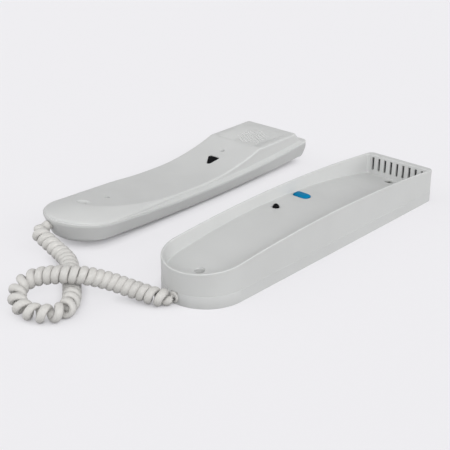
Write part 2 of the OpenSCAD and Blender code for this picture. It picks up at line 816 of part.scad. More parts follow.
// Curly cord: a tube wound along a route from the handset's gland to the cradle's gland
function turned(p, a) = [p.x * cos(a) - p.y * sin(a), p.x * sin(a) + p.y * cos(a)];
function laid(p) = concat(turned(p, handset_yaw) + handset_at, [handset_gland_z]);
start_away = turned([-1, 0], -gland_turn);
function start_at(far) = laid([round_x, 0] + start_away * (handset_nose() + nose_len + far));
function end_at(far) = [-end_x - fit - cradle_nose - far, 0, gland_z];

// Route of the curls' axis over the ground, with the spacing of the curls at each point
route = [[-117.8, 104, 13.4, 7], [-119.4, 99.6, 12.2, 6.4], [-118.9, 94, 10.3, 5.2],
         [-118.2, 87.5, 8, 4.6], [-118.5, 80, 6, 4.5], [-121, 71.5, 5.3, 4.5],
         [-127.5, 61.5, 5.2, 4.5], [-135.5, 51, 5.2, 4.7], [-143, 41.5, 5.2, 5.2],
         [-150.5, 33.5, 5.2, 6.2], [-158.5, 29.5, 5.2, 7], [-165.5, 32.5, 5.2, 7],
         [-170, 39.5, 5.2, 6.8], [-171.5, 47.5, 6, 6.6], [-168.5, 55, 8, 6.6],
         [-162.5, 59.5, 10.5, 6.4], [-156, 58, 12.8, 5.6], [-151, 52.5, 14.6, 4.8],
         [-147, 46.5, 15.7, 4.5], [-142.5, 41, 16, 4.4], [-137.5, 36.5, 15, 4.3],
         [-132, 32.5, 12.8, 4.2], [-126.5, 27, 10.2, 4.2], [-122, 20, 7.8, 4.3],
         [-118.6, 12.5, 6.2, 4.6], [-115.8, 6.2, 5.3, 5.2], [-113.4, 1, 5.2, 5.6]];
// Straight run of the cord in front of the handset's gland and of the cradle's gland
start_run = 3.8;
end_run = 2.4;
axis = concat([concat(start_at(0), [7]), concat(start_at(start_run), [7])], route,
              [concat(end_at(end_run), [6]), concat(end_at(0), [6])]);
curl_r = (curl_od - cord_d) / 2;
rings_per_curl = 8;
// Share of a curl over which the tube leaves the axis, and over which it returns
lead_in = 0.8;
lead_out = 0.45;
sides = 6;

function unit(v) = v / norm(v);
function flat(p) = [p.x, p.y, p.z];
// Smooth curve through the axis points: u counts the points
function axis_at(u) =
    let(i = max(1, min(floor(u), len(axis) - 3)), t = u - i,
        a = axis[i - 1], b = axis[i], c = axis[i + 1], d = axis[i + 2])
    ((2 * b) + (c - a) * t + (2 * a - 5 * b + 4 * c - d) * t * t
     + (3 * b - a - 3 * c + d) * t * t * t) / 2;
function axis_way(u) = unit(flat(axis_at(u + 0.01) - axis_at(u - 0.01)));
function ease(x) = x <= 0 ? 0 : x >= 1 ? 1 : x * x * (3 - 2 * x);

// Curls counted along the axis, as pairs of a count and its place on the axis
axis_steps = 8;
axis_last = (len(axis) - 3) * axis_steps;
function axis_u(k) = 1 + k / axis_steps;
function curls_in(k) =
    let(a = axis_at(axis_u(k)), b = axis_at(axis_u(k + 1)))
    norm(flat(b - a)) * 2 / (a[3] + b[3]);
curl_count = [for (k = 0, n = 0; k <= axis_last; k = k + 1, n = n + curls_in(k - 1)) [n, axis_u(k)]];
curls = curl_count[axis_last][0];
curl_rings = round(curls * rings_per_curl);

// Middle of the tube at ring k: it leaves the axis in the first curl and returns in the last
function tube_mid(k) =
    let(n = curls * k / curl_rings, u = lookup(n, curl_count), way = axis_way(u),
        across = unit(cross(way, [0, 0, 1])), up = cross(across, way),
        r = curl_r * min(ease(n / lead_in), ease((curls - n) / lead_out)), turn = 360 * n)
    flat(axis_at(u)) + r * (cos(turn) * across + sin(turn) * up);

module curly_cord() {
    mids = concat([start_at(0)], [for (k = [0:curl_rings]) tube_mid(k)], [end_at(0)]);
    last = len(mids) - 1;
    ways = [for (i = [0:last]) unit(mids[min(i + 1, last)] - mids[max(i - 1, 0)])];
    norms = [for (i = 0, n = [0, 0, 1]; i <= last;
                  i = i + 1, n = i > last ? n : unit(n - (n * ways[i]) * ways[i])) n];
    points = [for (i = [0:last], j = [0:sides - 1])
        mids[i] + cord_d / 2 * (cos(360 * j / sides) * norms[i]
                                + sin(360 * j / sides) * cross(ways[i], norms[i]))];
    skin = [for (i = [0:last - 1], j = [0:sides - 1])
        let(a = i * sides + j, b = i * sides + (j + 1) % sides) each [[a, a + sides, b],
                                                                      [b, a + sides, b + sides]]];
    caps = [for (j = [1:sides - 2]) each [[0, j, j + 1],
        [last * sides, last * sides + j + 1, last * sides + j]]];
    gap = min([for (i = [0:last - 5], j = [i + 5:last]) norm(mids[i] - mids[j])]) - cord_d;
    run = [for (i = [0:last - 1]) norm(mids[i + 1] - mids[i])];
    echo(curls = curls, least_gap = gap, length = run * [for (i = run) 1],
         lowest = min([for (p = points) p.z]));
    color("gainsboro") polyhedron(points, concat(skin, caps), convexity = 20);
}

cradle_housing();
back_plate();
housing_screws();
circuit_board();
board_screws();
terminal_block();
terminal_screws();
hook_switch();
hook_plunger();
door_switch();
door_button();
ringer();
slot_cloth();
cord_connector();
capacitors();
cradle_gland();
curly_cord();
handset_back();
handset_face();
face_screws();
receiver();
receiver_ring();
microphone();
microphone_boot();
face_insert();
handset_gland();
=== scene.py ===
"""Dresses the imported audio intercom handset, its wall cradle and its curly cord.

Sizes are in millimetres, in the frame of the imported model: X runs along the cradle from its round
cord end to its squared ringer end, Z points up, and the origin is the middle of the cradle's back.
"""

from __future__ import annotations

import logging
import math
from dataclasses import dataclass, field
from enum import Enum
from typing import Callable, Iterable, Sequence

import bmesh
import bpy
from mathutils import Matrix, Vector

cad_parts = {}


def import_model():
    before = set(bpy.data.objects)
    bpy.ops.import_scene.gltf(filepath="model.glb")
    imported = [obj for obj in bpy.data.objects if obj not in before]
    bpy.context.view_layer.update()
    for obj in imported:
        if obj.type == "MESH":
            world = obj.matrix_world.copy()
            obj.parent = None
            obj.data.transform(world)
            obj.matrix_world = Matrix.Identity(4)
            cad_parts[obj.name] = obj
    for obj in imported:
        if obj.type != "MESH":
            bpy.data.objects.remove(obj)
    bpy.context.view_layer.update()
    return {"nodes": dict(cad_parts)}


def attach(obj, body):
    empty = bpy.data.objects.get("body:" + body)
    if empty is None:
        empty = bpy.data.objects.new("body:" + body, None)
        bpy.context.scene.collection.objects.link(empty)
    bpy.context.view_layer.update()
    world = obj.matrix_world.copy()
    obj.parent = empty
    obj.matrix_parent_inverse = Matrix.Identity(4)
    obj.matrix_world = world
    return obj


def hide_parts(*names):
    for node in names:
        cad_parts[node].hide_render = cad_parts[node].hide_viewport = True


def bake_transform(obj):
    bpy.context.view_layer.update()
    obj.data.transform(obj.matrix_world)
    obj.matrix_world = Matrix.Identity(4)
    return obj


LOG = logging.getLogger("intercom")
Flat = tuple[float, float]
Point = tuple[float, float, float]
Colour = tuple[float, float, float]
Inset = Callable[[float], float]
Socket = bpy.types.NodeSocket

# Lengths are in millimetres and angles in degrees. OVER is how far a tool goes past what it cuts
MM = 0.001
OVER = 1.0
HAIR = 0.05
SLIVER = 0.002
WELD = 0.01
EDGE_ANGLE = 50
EDGE_STEPS = 3
TIP_ANGLE = 177

# Shares and levels of the materials
NOISE_SPAN = (0.3, 0.7)
BUMP_STRENGTH = 0.6
PLASTIC_IOR = 1.49
RUB_SHARE = 0.25
RUB_SPAN = (-0.05, 0.06)
DRAWN_STRETCH = (0.06, 1, 1)
THREAD_SCALE = 0.314


class Cut(Enum):
    """What a solid tool does to the piece that it meets."""

    JOIN = "UNION"
    TAKE = "DIFFERENCE"


class Weave(Enum):
    """Surface that breaks up a finish."""

    SPARK = "spark-eroded mould texture"
    DRAWN = "fine drawing lines"
    CLOTH = "plain weave"


# Small sums that the pieces share


def arc_rise(x: float, r: float) -> float:
    """Rise of an arc of radius r at distance x from its lowest point."""
    return r - math.sqrt(r * r - x * x)


def arc_through(x: float, h: float) -> float:
    """Radius of the arc that starts level at the origin and passes through (x, h)."""
    return x * x / (2 * h) + h / 2


def ease(x: float) -> float:
    """Smooth step from 0 to 1 as x goes from 0 to 1."""
    x = min(max(x, 0.0), 1.0)
    return x * x * (3 - 2 * x)


def soft_min(a: float, b: float, k: float) -> float:
    """Lower of two heights, rounded over where they are within k of each other."""
    h = min(max(0.5 + 0.5 * (b - a) / k, 0.0), 1.0)
    return b + (a - b) * h - k * h * (1 - h)


def quarter(steps: int) -> list[float]:
    """Angles from 0 to 90 degrees, in radians, both ends included."""
    return [math.pi / 2 * k / steps for k in range(steps + 1)]


class Bench:
    """Node tree of one material, with short calls for the nodes that the finishes share."""

    def __init__(self, name: str) -> None:
        """Start a material around its principled shader.

        Args:
            name: Name of the material.
        """
        self.material = bpy.data.materials.new(name)
        self.material.use_nodes = True
        self.tree = self.material.node_tree
        self.shader = next(n for n in self.tree.nodes if n.type == "BSDF_PRINCIPLED")
        self.where = self.node("ShaderNodeTexCoord").outputs["Object"]

    def node(self, kind: str, **values: object) -> bpy.types.Node:
        """Add a node and set its plain properties.

        Args:
            kind: Blender's name of the node type.
            values: Properties to set on it.

        Returns:
            The new node.
        """
        made = self.tree.nodes.new(kind)
        for key, value in values.items():
            setattr(made, key, value)
        return made

    def join(self, out: Socket, into: Socket) -> None:
        """Link an output to an input."""
        self.tree.links.new(out, into)

    def noise(self, size: float, detail: float = 2.0, stretch: Point = (1, 1, 1)) -> Socket:
        """Add a noise whose features are about size millimetres across.

        Args:
            size: Feature size in millimetres.
            detail: Octaves of finer noise.
            stretch: Scale of each axis, for drawn-out features.

        Returns:
            The factor output.
        """
        place = self.node("ShaderNodeMapping")
        place.inputs["Scale"].default_value = stretch
        self.join(self.where, place.inputs["Vector"])
        made = self.node("ShaderNodeTexNoise")
        made.inputs["Scale"].default_value = 1 / (size * MM)
        made.inputs["Detail"].default_value = detail
        self.join(place.outputs["Vector"], made.inputs["Vector"])
        return made.outputs["Fac"]

    def ramp(self, factor: Socket, low: Colour, high: Colour) -> Socket:
        """Blend between two colours by a factor near one half.

        Args:
            factor: Noise that picks the colour.
            low: Colour where the factor is small.
            high: Colour where it is large.

        Returns:
            The colour output.
        """
        made = self.node("ShaderNodeValToRGB")
        first, last = made.color_ramp.elements
        first.position, last.position = NOISE_SPAN
        first.color, last.color = (*low, 1), (*high, 1)
        self.join(factor, made.inputs["Fac"])
        return made.outputs["Color"]

    def spread(self, factor: Socket, low: float, high: float) -> Socket:
        """Map a noise onto a span of values.

        Args:
            factor: The noise.
            low: Value where the noise is small.
            high: Value where it is large.

        Returns:
            The output of the mapped value.
        """
        made = self.node("ShaderNodeMapRange")
        ends = ("From Min", "From Max", "To Min", "To Max")
        for name, value in zip(ends, (*NOISE_SPAN, low, high)):
            made.inputs[name].default_value = value
        self.join(factor, made.inputs["Value"])
        return made.outputs["Result"]

    def relief(self, height: Socket, depth: float) -> None:
        """Bump the surface by a height field.

        Args:
            height: The height field.
            depth: Its depth in millimetres.
        """
        made = self.node("ShaderNodeBump")
        made.inputs["Strength"].default_value = BUMP_STRENGTH
        made.inputs["Distance"].default_value = depth * MM
        self.join(height, made.inputs["Height"])
        self.join(made.outputs["Normal"], self.shader.inputs["Normal"])


@dataclass(frozen=True)
class Finish:
    """One surface finish.

    Attributes:
        name: Name of the material.
        slot: The record's material slot; not used.
        colour: Base colour, linear.
        roughness: Middle roughness.
        metallic: 1 for bare metal.
        specular: Level of the plain reflection.
        weave: What breaks up the surface.
        grain: Size of the fine texture, mm.
        depth: Depth of the fine texture, mm.
        mottle: Share by which the colour drifts.
        drift: Size of the colour drift, mm.
    """

    name: str
    slot: str
    colour: Colour
    roughness: float = 0.42
    metallic: float = 0.0
    specular: float = 0.5
    weave: Weave = Weave.SPARK
    grain: float = 0.4
    depth: float = 0.02
    mottle: float = 0.02
    drift: float = 22.0

    def tint(self, share: float) -> Colour:
        """Base colour made lighter or darker by a share."""
        return tuple(min(c * (1 + share), 1.0) for c in self.colour)

    def material(self) -> bpy.types.Material:
        """Build the material, or find it if it is already built.

        Returns:
            The material.
        """
        known = bpy.data.materials.get(self.name)
        if known:
            return known
        bench = Bench(self.name)
        shader = bench.shader
        shader.inputs["Metallic"].default_value = self.metallic
        shader.inputs["IOR"].default_value = PLASTIC_IOR
        shader.inputs["Specular IOR Level"].default_value = self.specular
        drift = bench.noise(self.drift, detail=4.0)
        bench.join(bench.ramp(drift, self.tint(-self.mottle), self.tint(self.mottle)),
                   shader.inputs["Base Color"])
        rub = bench.noise(self.drift * RUB_SHARE, detail=5.0)
        bench.join(bench.spread(rub, *(self.roughness + change for change in RUB_SPAN)),
                   shader.inputs["Roughness"])
        bench.relief(self.texture(bench), self.depth)
        return bench.material

    def texture(self, bench: Bench) -> Socket:
        """Height field of the fine texture.

        Args:
            bench: Bench of the material that takes it.

        Returns:
            The output of the height.
        """
        if self.weave is Weave.DRAWN:
            return bench.noise(self.grain, detail=3.0, stretch=DRAWN_STRETCH)
        if self.weave is Weave.SPARK:
            return bench.noise(self.grain, detail=3.0)
        threads = []
        for axis in ("Y", "Z"):
            wave = bench.node("ShaderNodeTexWave", bands_direction=axis)
            wave.inputs["Scale"].default_value = THREAD_SCALE / (self.grain * MM)
            bench.join(bench.where, wave.inputs["Vector"])
            threads.append(wave.outputs["Fac"])
        over = bench.node("ShaderNodeMath", operation="MAXIMUM")
        for thread, into in zip(threads, over.inputs):
            bench.join(thread, into)
        return over.outputs["Value"]


WHITE = Finish("white_shell_plastic", "white_shell", (0.570, 0.576, 0.572))
BACK_WHITE = Finish("white_back_plastic", "white_back", (0.562, 0.568, 0.566), roughness=0.45)
SHELL_WHITE = Finish("handset_back_plastic", "white_back", (0.600, 0.606, 0.604), roughness=0.45)
JACKET = Finish("cord_jacket_vinyl", "cord_jacket", (0.575, 0.565, 0.545), roughness=0.48,
                grain=0.8, depth=0.03, mottle=0.045, drift=9.0)
GLAND = Finish("gland_rubber", "gland_white", (0.56, 0.55, 0.53), roughness=0.6, mottle=0.03)
# Own black of the hook plunger; on the face insert the same black is painted shade of a hang hole
BLACK_AND_HOLE_SHADE = Finish("black_key_and_hole_shade", "black_plastic", (0.004, 0.004, 0.005), roughness=0.40,
               specular=0.06, mottle=0.15)
BLUE = Finish("blue_button_plastic", "blue_button", (0.0005, 0.172, 0.350), roughness=0.38,
              specular=0.07, mottle=0.06, drift=6.0)
STEEL = Finish("plated_steel", "steel", (0.52, 0.52, 0.51), roughness=0.34, metallic=1.0,
               weave=Weave.DRAWN, grain=0.5, depth=0.01, mottle=0.06, drift=4.0)
LACQUER = Finish("board_lacquer", "board", (0.02, 0.13, 0.05), roughness=0.36, mottle=0.2,
                 drift=5.0)
TERMINAL = Finish("terminal_plastic", "terminal_green", (0.04, 0.18, 0.07), mottle=0.05)
SWITCH = Finish("switch_plastic", "switch_black", (0.012, 0.012, 0.012), mottle=0.1)
RINGER = Finish("ringer_plastic", "ringer_case", (0.011, 0.011, 0.011), mottle=0.1)
CLOTH = Finish("slot_cloth_weave", "cloth", (0.012, 0.012, 0.013), roughness=0.9,
               weave=Weave.CLOTH, grain=0.5, depth=0.1, mottle=0.15, drift=3.0)
FELT = Finish("receiver_felt", "white_shell", (0.42, 0.42, 0.41), roughness=0.9,
              weave=Weave.CLOTH, grain=0.4, depth=0.08, mottle=0.08, drift=3.0)
NATURAL = Finish("connector_plastic", "connector", (0.60, 0.57, 0.46), mottle=0.04)
CAN = Finish("capacitor_can", "can", (0.60, 0.60, 0.62), roughness=0.3, metallic=1.0,
             weave=Weave.DRAWN, depth=0.01)
CAPSULE = Finish("capsule_can", "capsule", (0.55, 0.55, 0.57), roughness=0.35, metallic=1.0,
                 weave=Weave.DRAWN, depth=0.01)
RUBBER = Finish("dark_moulded_rubber", "dark_rubber", (0.014, 0.014, 0.014), roughness=0.7,
                mottle=0.12)

# CAD nodes that keep their shape, and the rounding of those whose edges show
KEPT: dict[str, Finish] = {
    "back_plate": BACK_WHITE, "housing_screws": STEEL, "circuit_board": LACQUER,
    "board_screws": STEEL, "terminal_block": TERMINAL, "terminal_screws": STEEL,
    "hook_switch": SWITCH, "hook_plunger": BLACK_AND_HOLE_SHADE, "door_switch": SWITCH, "ringer": RINGER,
    "slot_cloth": CLOTH, "cord_connector": NATURAL, "capacitors": CAN, "cradle_gland": GLAND,
    "face_screws": STEEL, "receiver": CAPSULE, "receiver_ring": RUBBER, "microphone": CAPSULE,
    # face_insert: its black is painted shade of the hang hole that the insert stands in for
    "microphone_boot": RUBBER, "face_insert": BLACK_AND_HOLE_SHADE, "handset_gland": GLAND,
}
ROUNDED: dict[str, float] = {
    "back_plate": 0.1, "housing_screws": 0.15, "cradle_gland": 0.3, "face_screws": 0.1,
    "face_insert": 0.25, "handset_gland": 0.3,
}


class Skin:
    """Points and faces of one mesh, gathered ring by ring in millimetres."""

    def __init__(self) -> None:
        """Start an empty skin."""
        self.points: list[Point] = []
        self.faces: list[tuple[int, ...]] = []

    def ring(self, points: Iterable[Point]) -> list[int]:
        """Add points without faces.

        Args:
            points: The points, in order.

        Returns:
            Their numbers.
        """
        start = len(self.points)
        self.points.extend(points)
        return list(range(start, len(self.points)))

    def follow(self, last: Sequence[int], rings: Iterable[Iterable[Point]]) -> Sequence[int]:
        """Go on from a closed ring through further rings of equal count.

        Args:
            last: Numbers of the ring to start from.
            rings: The further rings, in order.

        Returns:
            Numbers of the last ring.
        """
        for points in rings:
            ring = self.ring(points)
            self.bridge(last, ring)
            last = ring
        return last

    def bridge(self, low: Sequence[int], high: Sequence[int]) -> None:
        """Join two closed rings of equal count with quads.

        Args:
            low: Numbers of the first ring's points.
            high: Numbers of the second ring's points.
        """
        for i in range(len(low)):
            j = (i + 1) % len(low)
            self.faces.append((low[i], low[j], high[j], high[i]))

    def stack(self, rings: Iterable[Sequence[Point]]) -> None:
        """Join closed rings in order and cap both ends, as a turned or lofted solid.

        Args:
            rings: Rings of equal count, from one end to the other.
        """
        laid = [self.ring(points) for points in rings]
        for low, high in zip(laid, laid[1:]):
            self.bridge(low, high)
        self.faces.append(tuple(reversed(laid[0])))
        self.faces.append(tuple(laid[-1]))

    def lattice(self, rows: Sequence[Sequence[Point]]) -> list[int]:
        """Add a sheet of quads.

        Args:
            rows: Equal rows of points.

        Returns:
            The numbers round the sheet's border, in the order of Plan.border.
        """
        laid = [self.ring(row) for row in rows]
        for low, high in zip(laid, laid[1:]):
            for j in range(len(low) - 1):
                self.faces.append((low[j], low[j + 1], high[j + 1], high[j]))
        return ([row[0] for row in laid] + laid[-1][1:-1]
                + [row[-1] for row in reversed(laid)] + laid[0][-2:0:-1])

    def piece(self, name: str, place: Matrix | None = None) -> bpy.types.Object:
        """Make the object.

        Args:
            name: Name of the object.
            place: Where the skin goes, if it isn't in the shared frame.

        Returns:
            The linked object, in metres, with its faces turned outwards.
        """
        mesh = bpy.data.meshes.new(name)
        mesh.from_pydata([Vector(p) * MM for p in self.points], [], self.faces)
        if place is not None:
            mesh.transform(place)
        tidy = bmesh.new()
        tidy.from_mesh(mesh)
        bmesh.ops.recalc_face_normals(tidy, faces=tidy.faces)
        tidy.to_mesh(mesh)
        tidy.free()
        made = bpy.data.objects.new(name, mesh)
        bpy.context.scene.collection.objects.link(made)
        return made


def circle(x: float, y: float, z: float, r: float, sides: int) -> list[Point]:
    """Level ring of points round (x, y)."""
    turn = 2 * math.pi / sides
    return [(x + r * math.cos(k * turn), y + r * math.sin(k * turn), z) for k in range(sides)]


def carve(body: bpy.types.Object, tool: bpy.types.Object, how: Cut = Cut.TAKE) -> None:
    """Join a tool to a piece or take it away, and delete the tool.

    Args:
        body: Piece that keeps the result.
        tool: Closed mesh that is used up.
        how: Whether the tool is added or taken away.
    """
    step = body.modifiers.new("carve", "BOOLEAN")
    step.object, step.operation, step.solver = tool, how.value, "EXACT"
    bpy.context.view_layer.update()
    done = body.evaluated_get(bpy.context.evaluated_depsgraph_get())
    mesh = bpy.data.meshes.new_from_object(done)
    tidy = bmesh.new()
    tidy.from_mesh(mesh)
    bmesh.ops.dissolve_degenerate(tidy, dist=SLIVER * MM, edges=tidy.edges)
    tidy.to_mesh(mesh)
    tidy.free()
    body.modifiers.clear()
    old, body.data = body.data, mesh
    bpy.data.meshes.remove(old)
    bpy.data.objects.remove(tool)


def dress(piece: bpy.types.Object, finish: Finish, angle: float = 32.0) -> None:
    """Smooth a piece up to an angle and give it its finish.

    Args:
        piece: Piece to dress.
        finish: Its finish.
        angle: Edges sharper than this stay crisp, in degrees.
    """
    piece.data.shade_smooth()
    piece.data.set_sharp_from_angle(angle=math.radians(angle))
    piece.data.materials.clear()
    piece.data.materials.append(finish.material())
    even = piece.modifiers.new("even_normals", "WEIGHTED_NORMAL")
    even.keep_sharp = True


def stand_for(piece: bpy.types.Object, body: str, *nodes: str) -> None:
    """Let a piece ride on a body, in place of CAD nodes or as an extra piece.

    Args:
        piece: The piece.
        body: Name of the body.
        nodes: Names of the CAD nodes that it stands for.
    """
    if nodes:
        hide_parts(*nodes)
    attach(piece, body)
    LOG.info("%s rides on %s with %d faces", piece.name, body, len(piece.data.polygons))


@dataclass(frozen=True)
class Plan:
    """Outline that the cradle and the handset share: one round end and one squared end.

    Attributes:
        length: Length over both ends.
        width: Width, and diameter of the round end.
        corner: Corner radius of the squared end.
        corner_least: Least radius of a corner that is drawn in.
        tip_rows: Rows over the round end.
        side_rows: Rows along the straight sides.
        corner_rows: Rows over a corner.
        columns: Quads across the width.
    """

    length: float = 215.0
    width: float = 50.0
    corner: float = 4.0
    corner_least: float = 1.0
    tip_rows: int = 30
    side_rows: int = 90
    corner_rows: int = 7
    columns: int = 24

    @property
    def round_x(self) -> float:
        """Centre of the round end."""
        return (self.width - self.length) / 2

    @property
    def end_x(self) -> float:
        """Station of the squared end."""
        return self.length / 2

    def half(self, inset: Inset, end_inset: float, ease_corner: float = 0.0) -> list[Flat]:
        """Points of the +Y half of the outline, from the round tip to the squared end.

        Args:
            inset: How far the outline is drawn in at a station.
            end_inset: How far the squared end is drawn in.
            ease_corner: How much rounder the corners of the squared end are.

        Returns:
            One point for each row.
        """
        full, mid, far = self.width / 2, self.round_x, self.end_x - end_inset
        points: list[Flat] = []
        for k in range(self.tip_rows):
            a = math.radians(TIP_ANGLE - (TIP_ANGLE - 90) * k / self.tip_rows)
            r = full - inset(mid + full * math.cos(a))
            points.append((mid + r * math.cos(a), r * math.sin(a)))
        r = max(self.corner - inset(self.end_x), self.corner_least) + ease_corner
        for k in range(self.side_rows):
            u = k / self.side_rows
            points.append((mid + u * (far - r - mid),
                           full - inset(mid + u * (self.end_x - r - mid))))
        top = full - inset(self.end_x)
        for k in range(self.corner_rows + 1):
            a = math.pi / 2 * (1 - k / self.corner_rows)
            points.append((far - r + r * math.cos(a), top - r + r * math.sin(a)))
        return points

    def border(self, half: Sequence[Flat]) -> list[Flat]:
        """Whole outline as one ring.

        Args:
            half: Points of the +Y half.

        Returns:
            The points, in the order of Skin.lattice's border.
        """
        (xa, ya), (xb, yb), n = half[0], half[-1], self.columns
        across = [1 - 2 * j / n for j in range(1, n)]
        return (list(half) + [(xb, yb * c) for c in across] + [(x, -y) for x, y in reversed(half)]
                + [(xa, -ya * c) for c in across])

    def rows(self, half: Sequence[Flat]) -> list[list[Flat]]:
        """Rows of points across the outline."""
        n = self.columns
        return [[(x, y * (1 - 2 * j / n)) for j in range(n + 1)] for x, y in half]

    def squared(self) -> list[float]:
        """Share of the squared end at each point of the border.

        Returns:
            0 on the sides and at the round end, 1 at the squared end, smooth over the corners.
        """
        half = [0.0] * (self.tip_rows + self.side_rows)
        half += [ease(k / self.corner_rows) for k in range(self.corner_rows + 1)]
        return half + [1.0] * (self.columns - 1) + half[::-1] + [0.0] * (self.columns - 1)


def level(inset: float) -> Inset:
    """Inset that is the same all along."""
    return lambda x: inset


@dataclass
class Cradle:
    """Wall cradle: tray housing with its arched rim, and the door button in its floor.

    Attributes:
        plan: Outline of the cradle.
        wall: Thickness of the walls at the tray floor.
        rim_wall: Thickness of the walls at the rim.
        end_wall: Thickness of the squared end, with the sound channel in it.
        end_draft: How much thinner the squared end is at its rim.
        rim_z: Height of the arched rim at its crown.
        arch_r: Radius of the rim's arch.
        arch_x: Station of the rim's crown.
        rim_round: Rounding of the rim's edges.
        seam_z: Height of the seam above the back plate.
        floor_z: Height of the tray floor at its crown.
        floor_r: Radius of the floor's arch.
        floor_x: Station of the floor's crown.
        floor_t: Thickness of the tray floor.
        floor_fillet: Fillet between floor and walls.
        skirt: How far the housing is drawn in behind the back plate's edge.
        seam_gap: How far the housing reaches below the seam's height.
        sound_wall: Thickness of the slotted wall.
        channel: Width of the dark channel behind it.
        channel_side: Margin of the channel past the outer slots, and its height above the seam.
        channel_top: Margin of the channel above the slots.
        slot_count: Number of ringer slots.
        slot_pitch: Spacing of the slots.
        slot_w: Width of a slot.
        slot_low: Lower end of the slots.
        slot_high: Upper end of the slots.
        screw_at: Stations of the housing screws.
        screw_seat: Height of the screws' seat.
        pilot_r: Radius of the hole below the seat.
        recess_r: Radius of the recess above it.
        recess_ease: Easing of the recess's mouth.
        boss_r: Radius of the bosses under the floor.
        boss_in: How far below the floor's surface the bosses end.
        plunger_at: Place of the hook plunger.
        plunger_hole: Radius of its hole.
        button_at: Place of the door button.
        button_size: Width and length of the button.
        button_round: Corner radius of the button.
        button_up: How far it stands above the floor.
        button_flange: Width and height of the flange that keeps it in.
        button_clear: Gap between the flange and the floor.
        button_bow: Fall of the button's top towards its ends, per square millimetre.
        bow_in: Distance from the button's edge at which the top starts to fall.
        button_crown: Margin and depth below the top of each ring of the button's edge.
        key_gap: Gap round the button.
        key_mouth: Margin and height of each ring of a key hole's tool, from the floor.
    """

    plan: Plan = field(default_factory=Plan)
    wall: float = 2.0
    rim_wall: float = 1.4
    end_wall: float = 6.0
    end_draft: float = 0.4
    rim_z: float = 26.6
    arch_r: float = 1000.0
    arch_x: float = 8.0
    rim_round: float = 0.6
    seam_z: float = 7.2
    floor_z: float = 19.2
    floor_r: float = 520.0
    floor_x: float = -4.0
    floor_t: float = 2.0
    floor_fillet: float = 0.3
    skirt: float = 0.14
    seam_gap: float = 0.14
    sound_wall: float = 1.6
    channel: float = 2.4
    channel_side: float = 1.0
    channel_top: float = 0.4
    slot_count: int = 9
    slot_pitch: float = 4.8
    slot_w: float = 1.8
    slot_low: float = 11.3
    slot_high: float = 20.3
    screw_at: Flat = (-88.0, 93.0)
    screw_seat: float = 8.0
    pilot_r: float = 1.6
    recess_r: float = 2.75
    recess_ease: float = 0.35
    boss_r: float = 4.35
    boss_in: float = 0.9
    plunger_at: Flat = (-5.9, 15.2)
    plunger_hole: float = 2.25
    button_at: Flat = (19.7, 15.6)
    button_size: Flat = (6.6, 11.4)
    button_round: float = 2.6
    button_up: float = 1.4
    button_flange: float = 1.2
    button_clear: float = 0.1
    button_bow: float = 0.006
    bow_in: float = 0.5
    button_crown: tuple[Flat, ...] = ((0, 1.25), (-0.12, 1.05), (-0.8, 0.36), (-1.1, 0.15),
                                      (-1.7, 0.04), (-2.35, 0))
    key_gap: float = 0.25
    key_mouth: tuple[Flat, ...] = ((0, -4), (0, -0.3), (0.35, 0.06), (0.35, 2))

    def floor_at(self, x: float) -> float:
        """Height of the tray floor at a station."""
        return self.floor_z - arc_rise(x - self.floor_x, self.floor_r)

    def rim_at(self, x: float) -> float:
        """Height of the arched rim at a station."""
        return self.rim_z - arc_rise(x - self.arch_x, self.arch_r)

    def build(self) -> None:
        """Make the housing and the door button."""
        housing = self.housing()
        dress(housing, WHITE)
        stand_for(housing, "base", "cradle_housing")
        button = self.button()
        dress(button, BLUE, angle=24)
        stand_for(button, "door_button", "door_button")

    def housing(self) -> bpy.types.Object:
        """Tray with round rim edges, filleted floor, screw recesses, key holes and ringer slots.

        Returns:
            The housing.
        """
        skin, plan, r, f = Skin(), self.plan, self.rim_round, self.floor_fillet
        rim_end = self.end_wall - self.end_draft
        turn = quarter(4)

        def loop(inset: float, end_inset: float, height: Inset) -> list[Point]:
            """Ring of the outline, drawn in, at a height that goes with the station."""
            outline = plan.border(plan.half(level(inset), end_inset))
            return [(x, y, height(x)) for x, y in outline]

        rings = []
        for a in turn[1:]:
            s, c = f * (1 - math.sin(a)), f * (1 - math.cos(a))
            rings.append(loop(self.wall + s, self.end_wall + s, lambda x: self.floor_at(x) + c))
        for a in turn:
            s, c = r * (1 - math.cos(a)), r * (1 - math.sin(a))
            rings.append(loop(self.rim_wall - s, rim_end - s, lambda x: self.rim_at(x) - c))
        for a in reversed(turn):
            s, c = r * (1 - math.cos(a)), r * (1 - math.sin(a))
            rings.append(loop(self.skirt + s, self.skirt + s, lambda x: self.rim_at(x) - c))
        rings.append(loop(self.skirt, self.skirt, level(self.seam_z - self.seam_gap)))
        rings.append(loop(self.wall, self.end_wall, level(self.seam_z - self.seam_gap)))
        half = plan.half(level(self.wall + f), self.end_wall + f)
        last = skin.lattice([[(x, y, self.floor_at(x)) for x, y in row] for row in plan.rows(half)])
        last = skin.follow(last, rings)
        half = plan.half(level(self.wall), self.end_wall)
        roof = skin.lattice([[(x, y, self.floor_at(x) - self.floor_t) for x, y in row]
                             for row in plan.rows(half)])
        skin.bridge(last, roof)
        made = skin.piece("tray_housing")
        carve(made, self.bosses(), Cut.JOIN)
        carve(made, self.holes())
        carve(made, self.sound_channel())
        return made

    def bosses(self) -> bpy.types.Object:
        """Screw bosses under the tray floor.

        Returns:
            Both bosses as one tool.
        """
        skin = Skin()
        for x in self.screw_at:
            top = self.floor_at(x) - self.boss_in
            skin.stack(circle(x, 0, z, self.boss_r, 40) for z in (self.seam_z, top))
        return skin.piece("bosses")

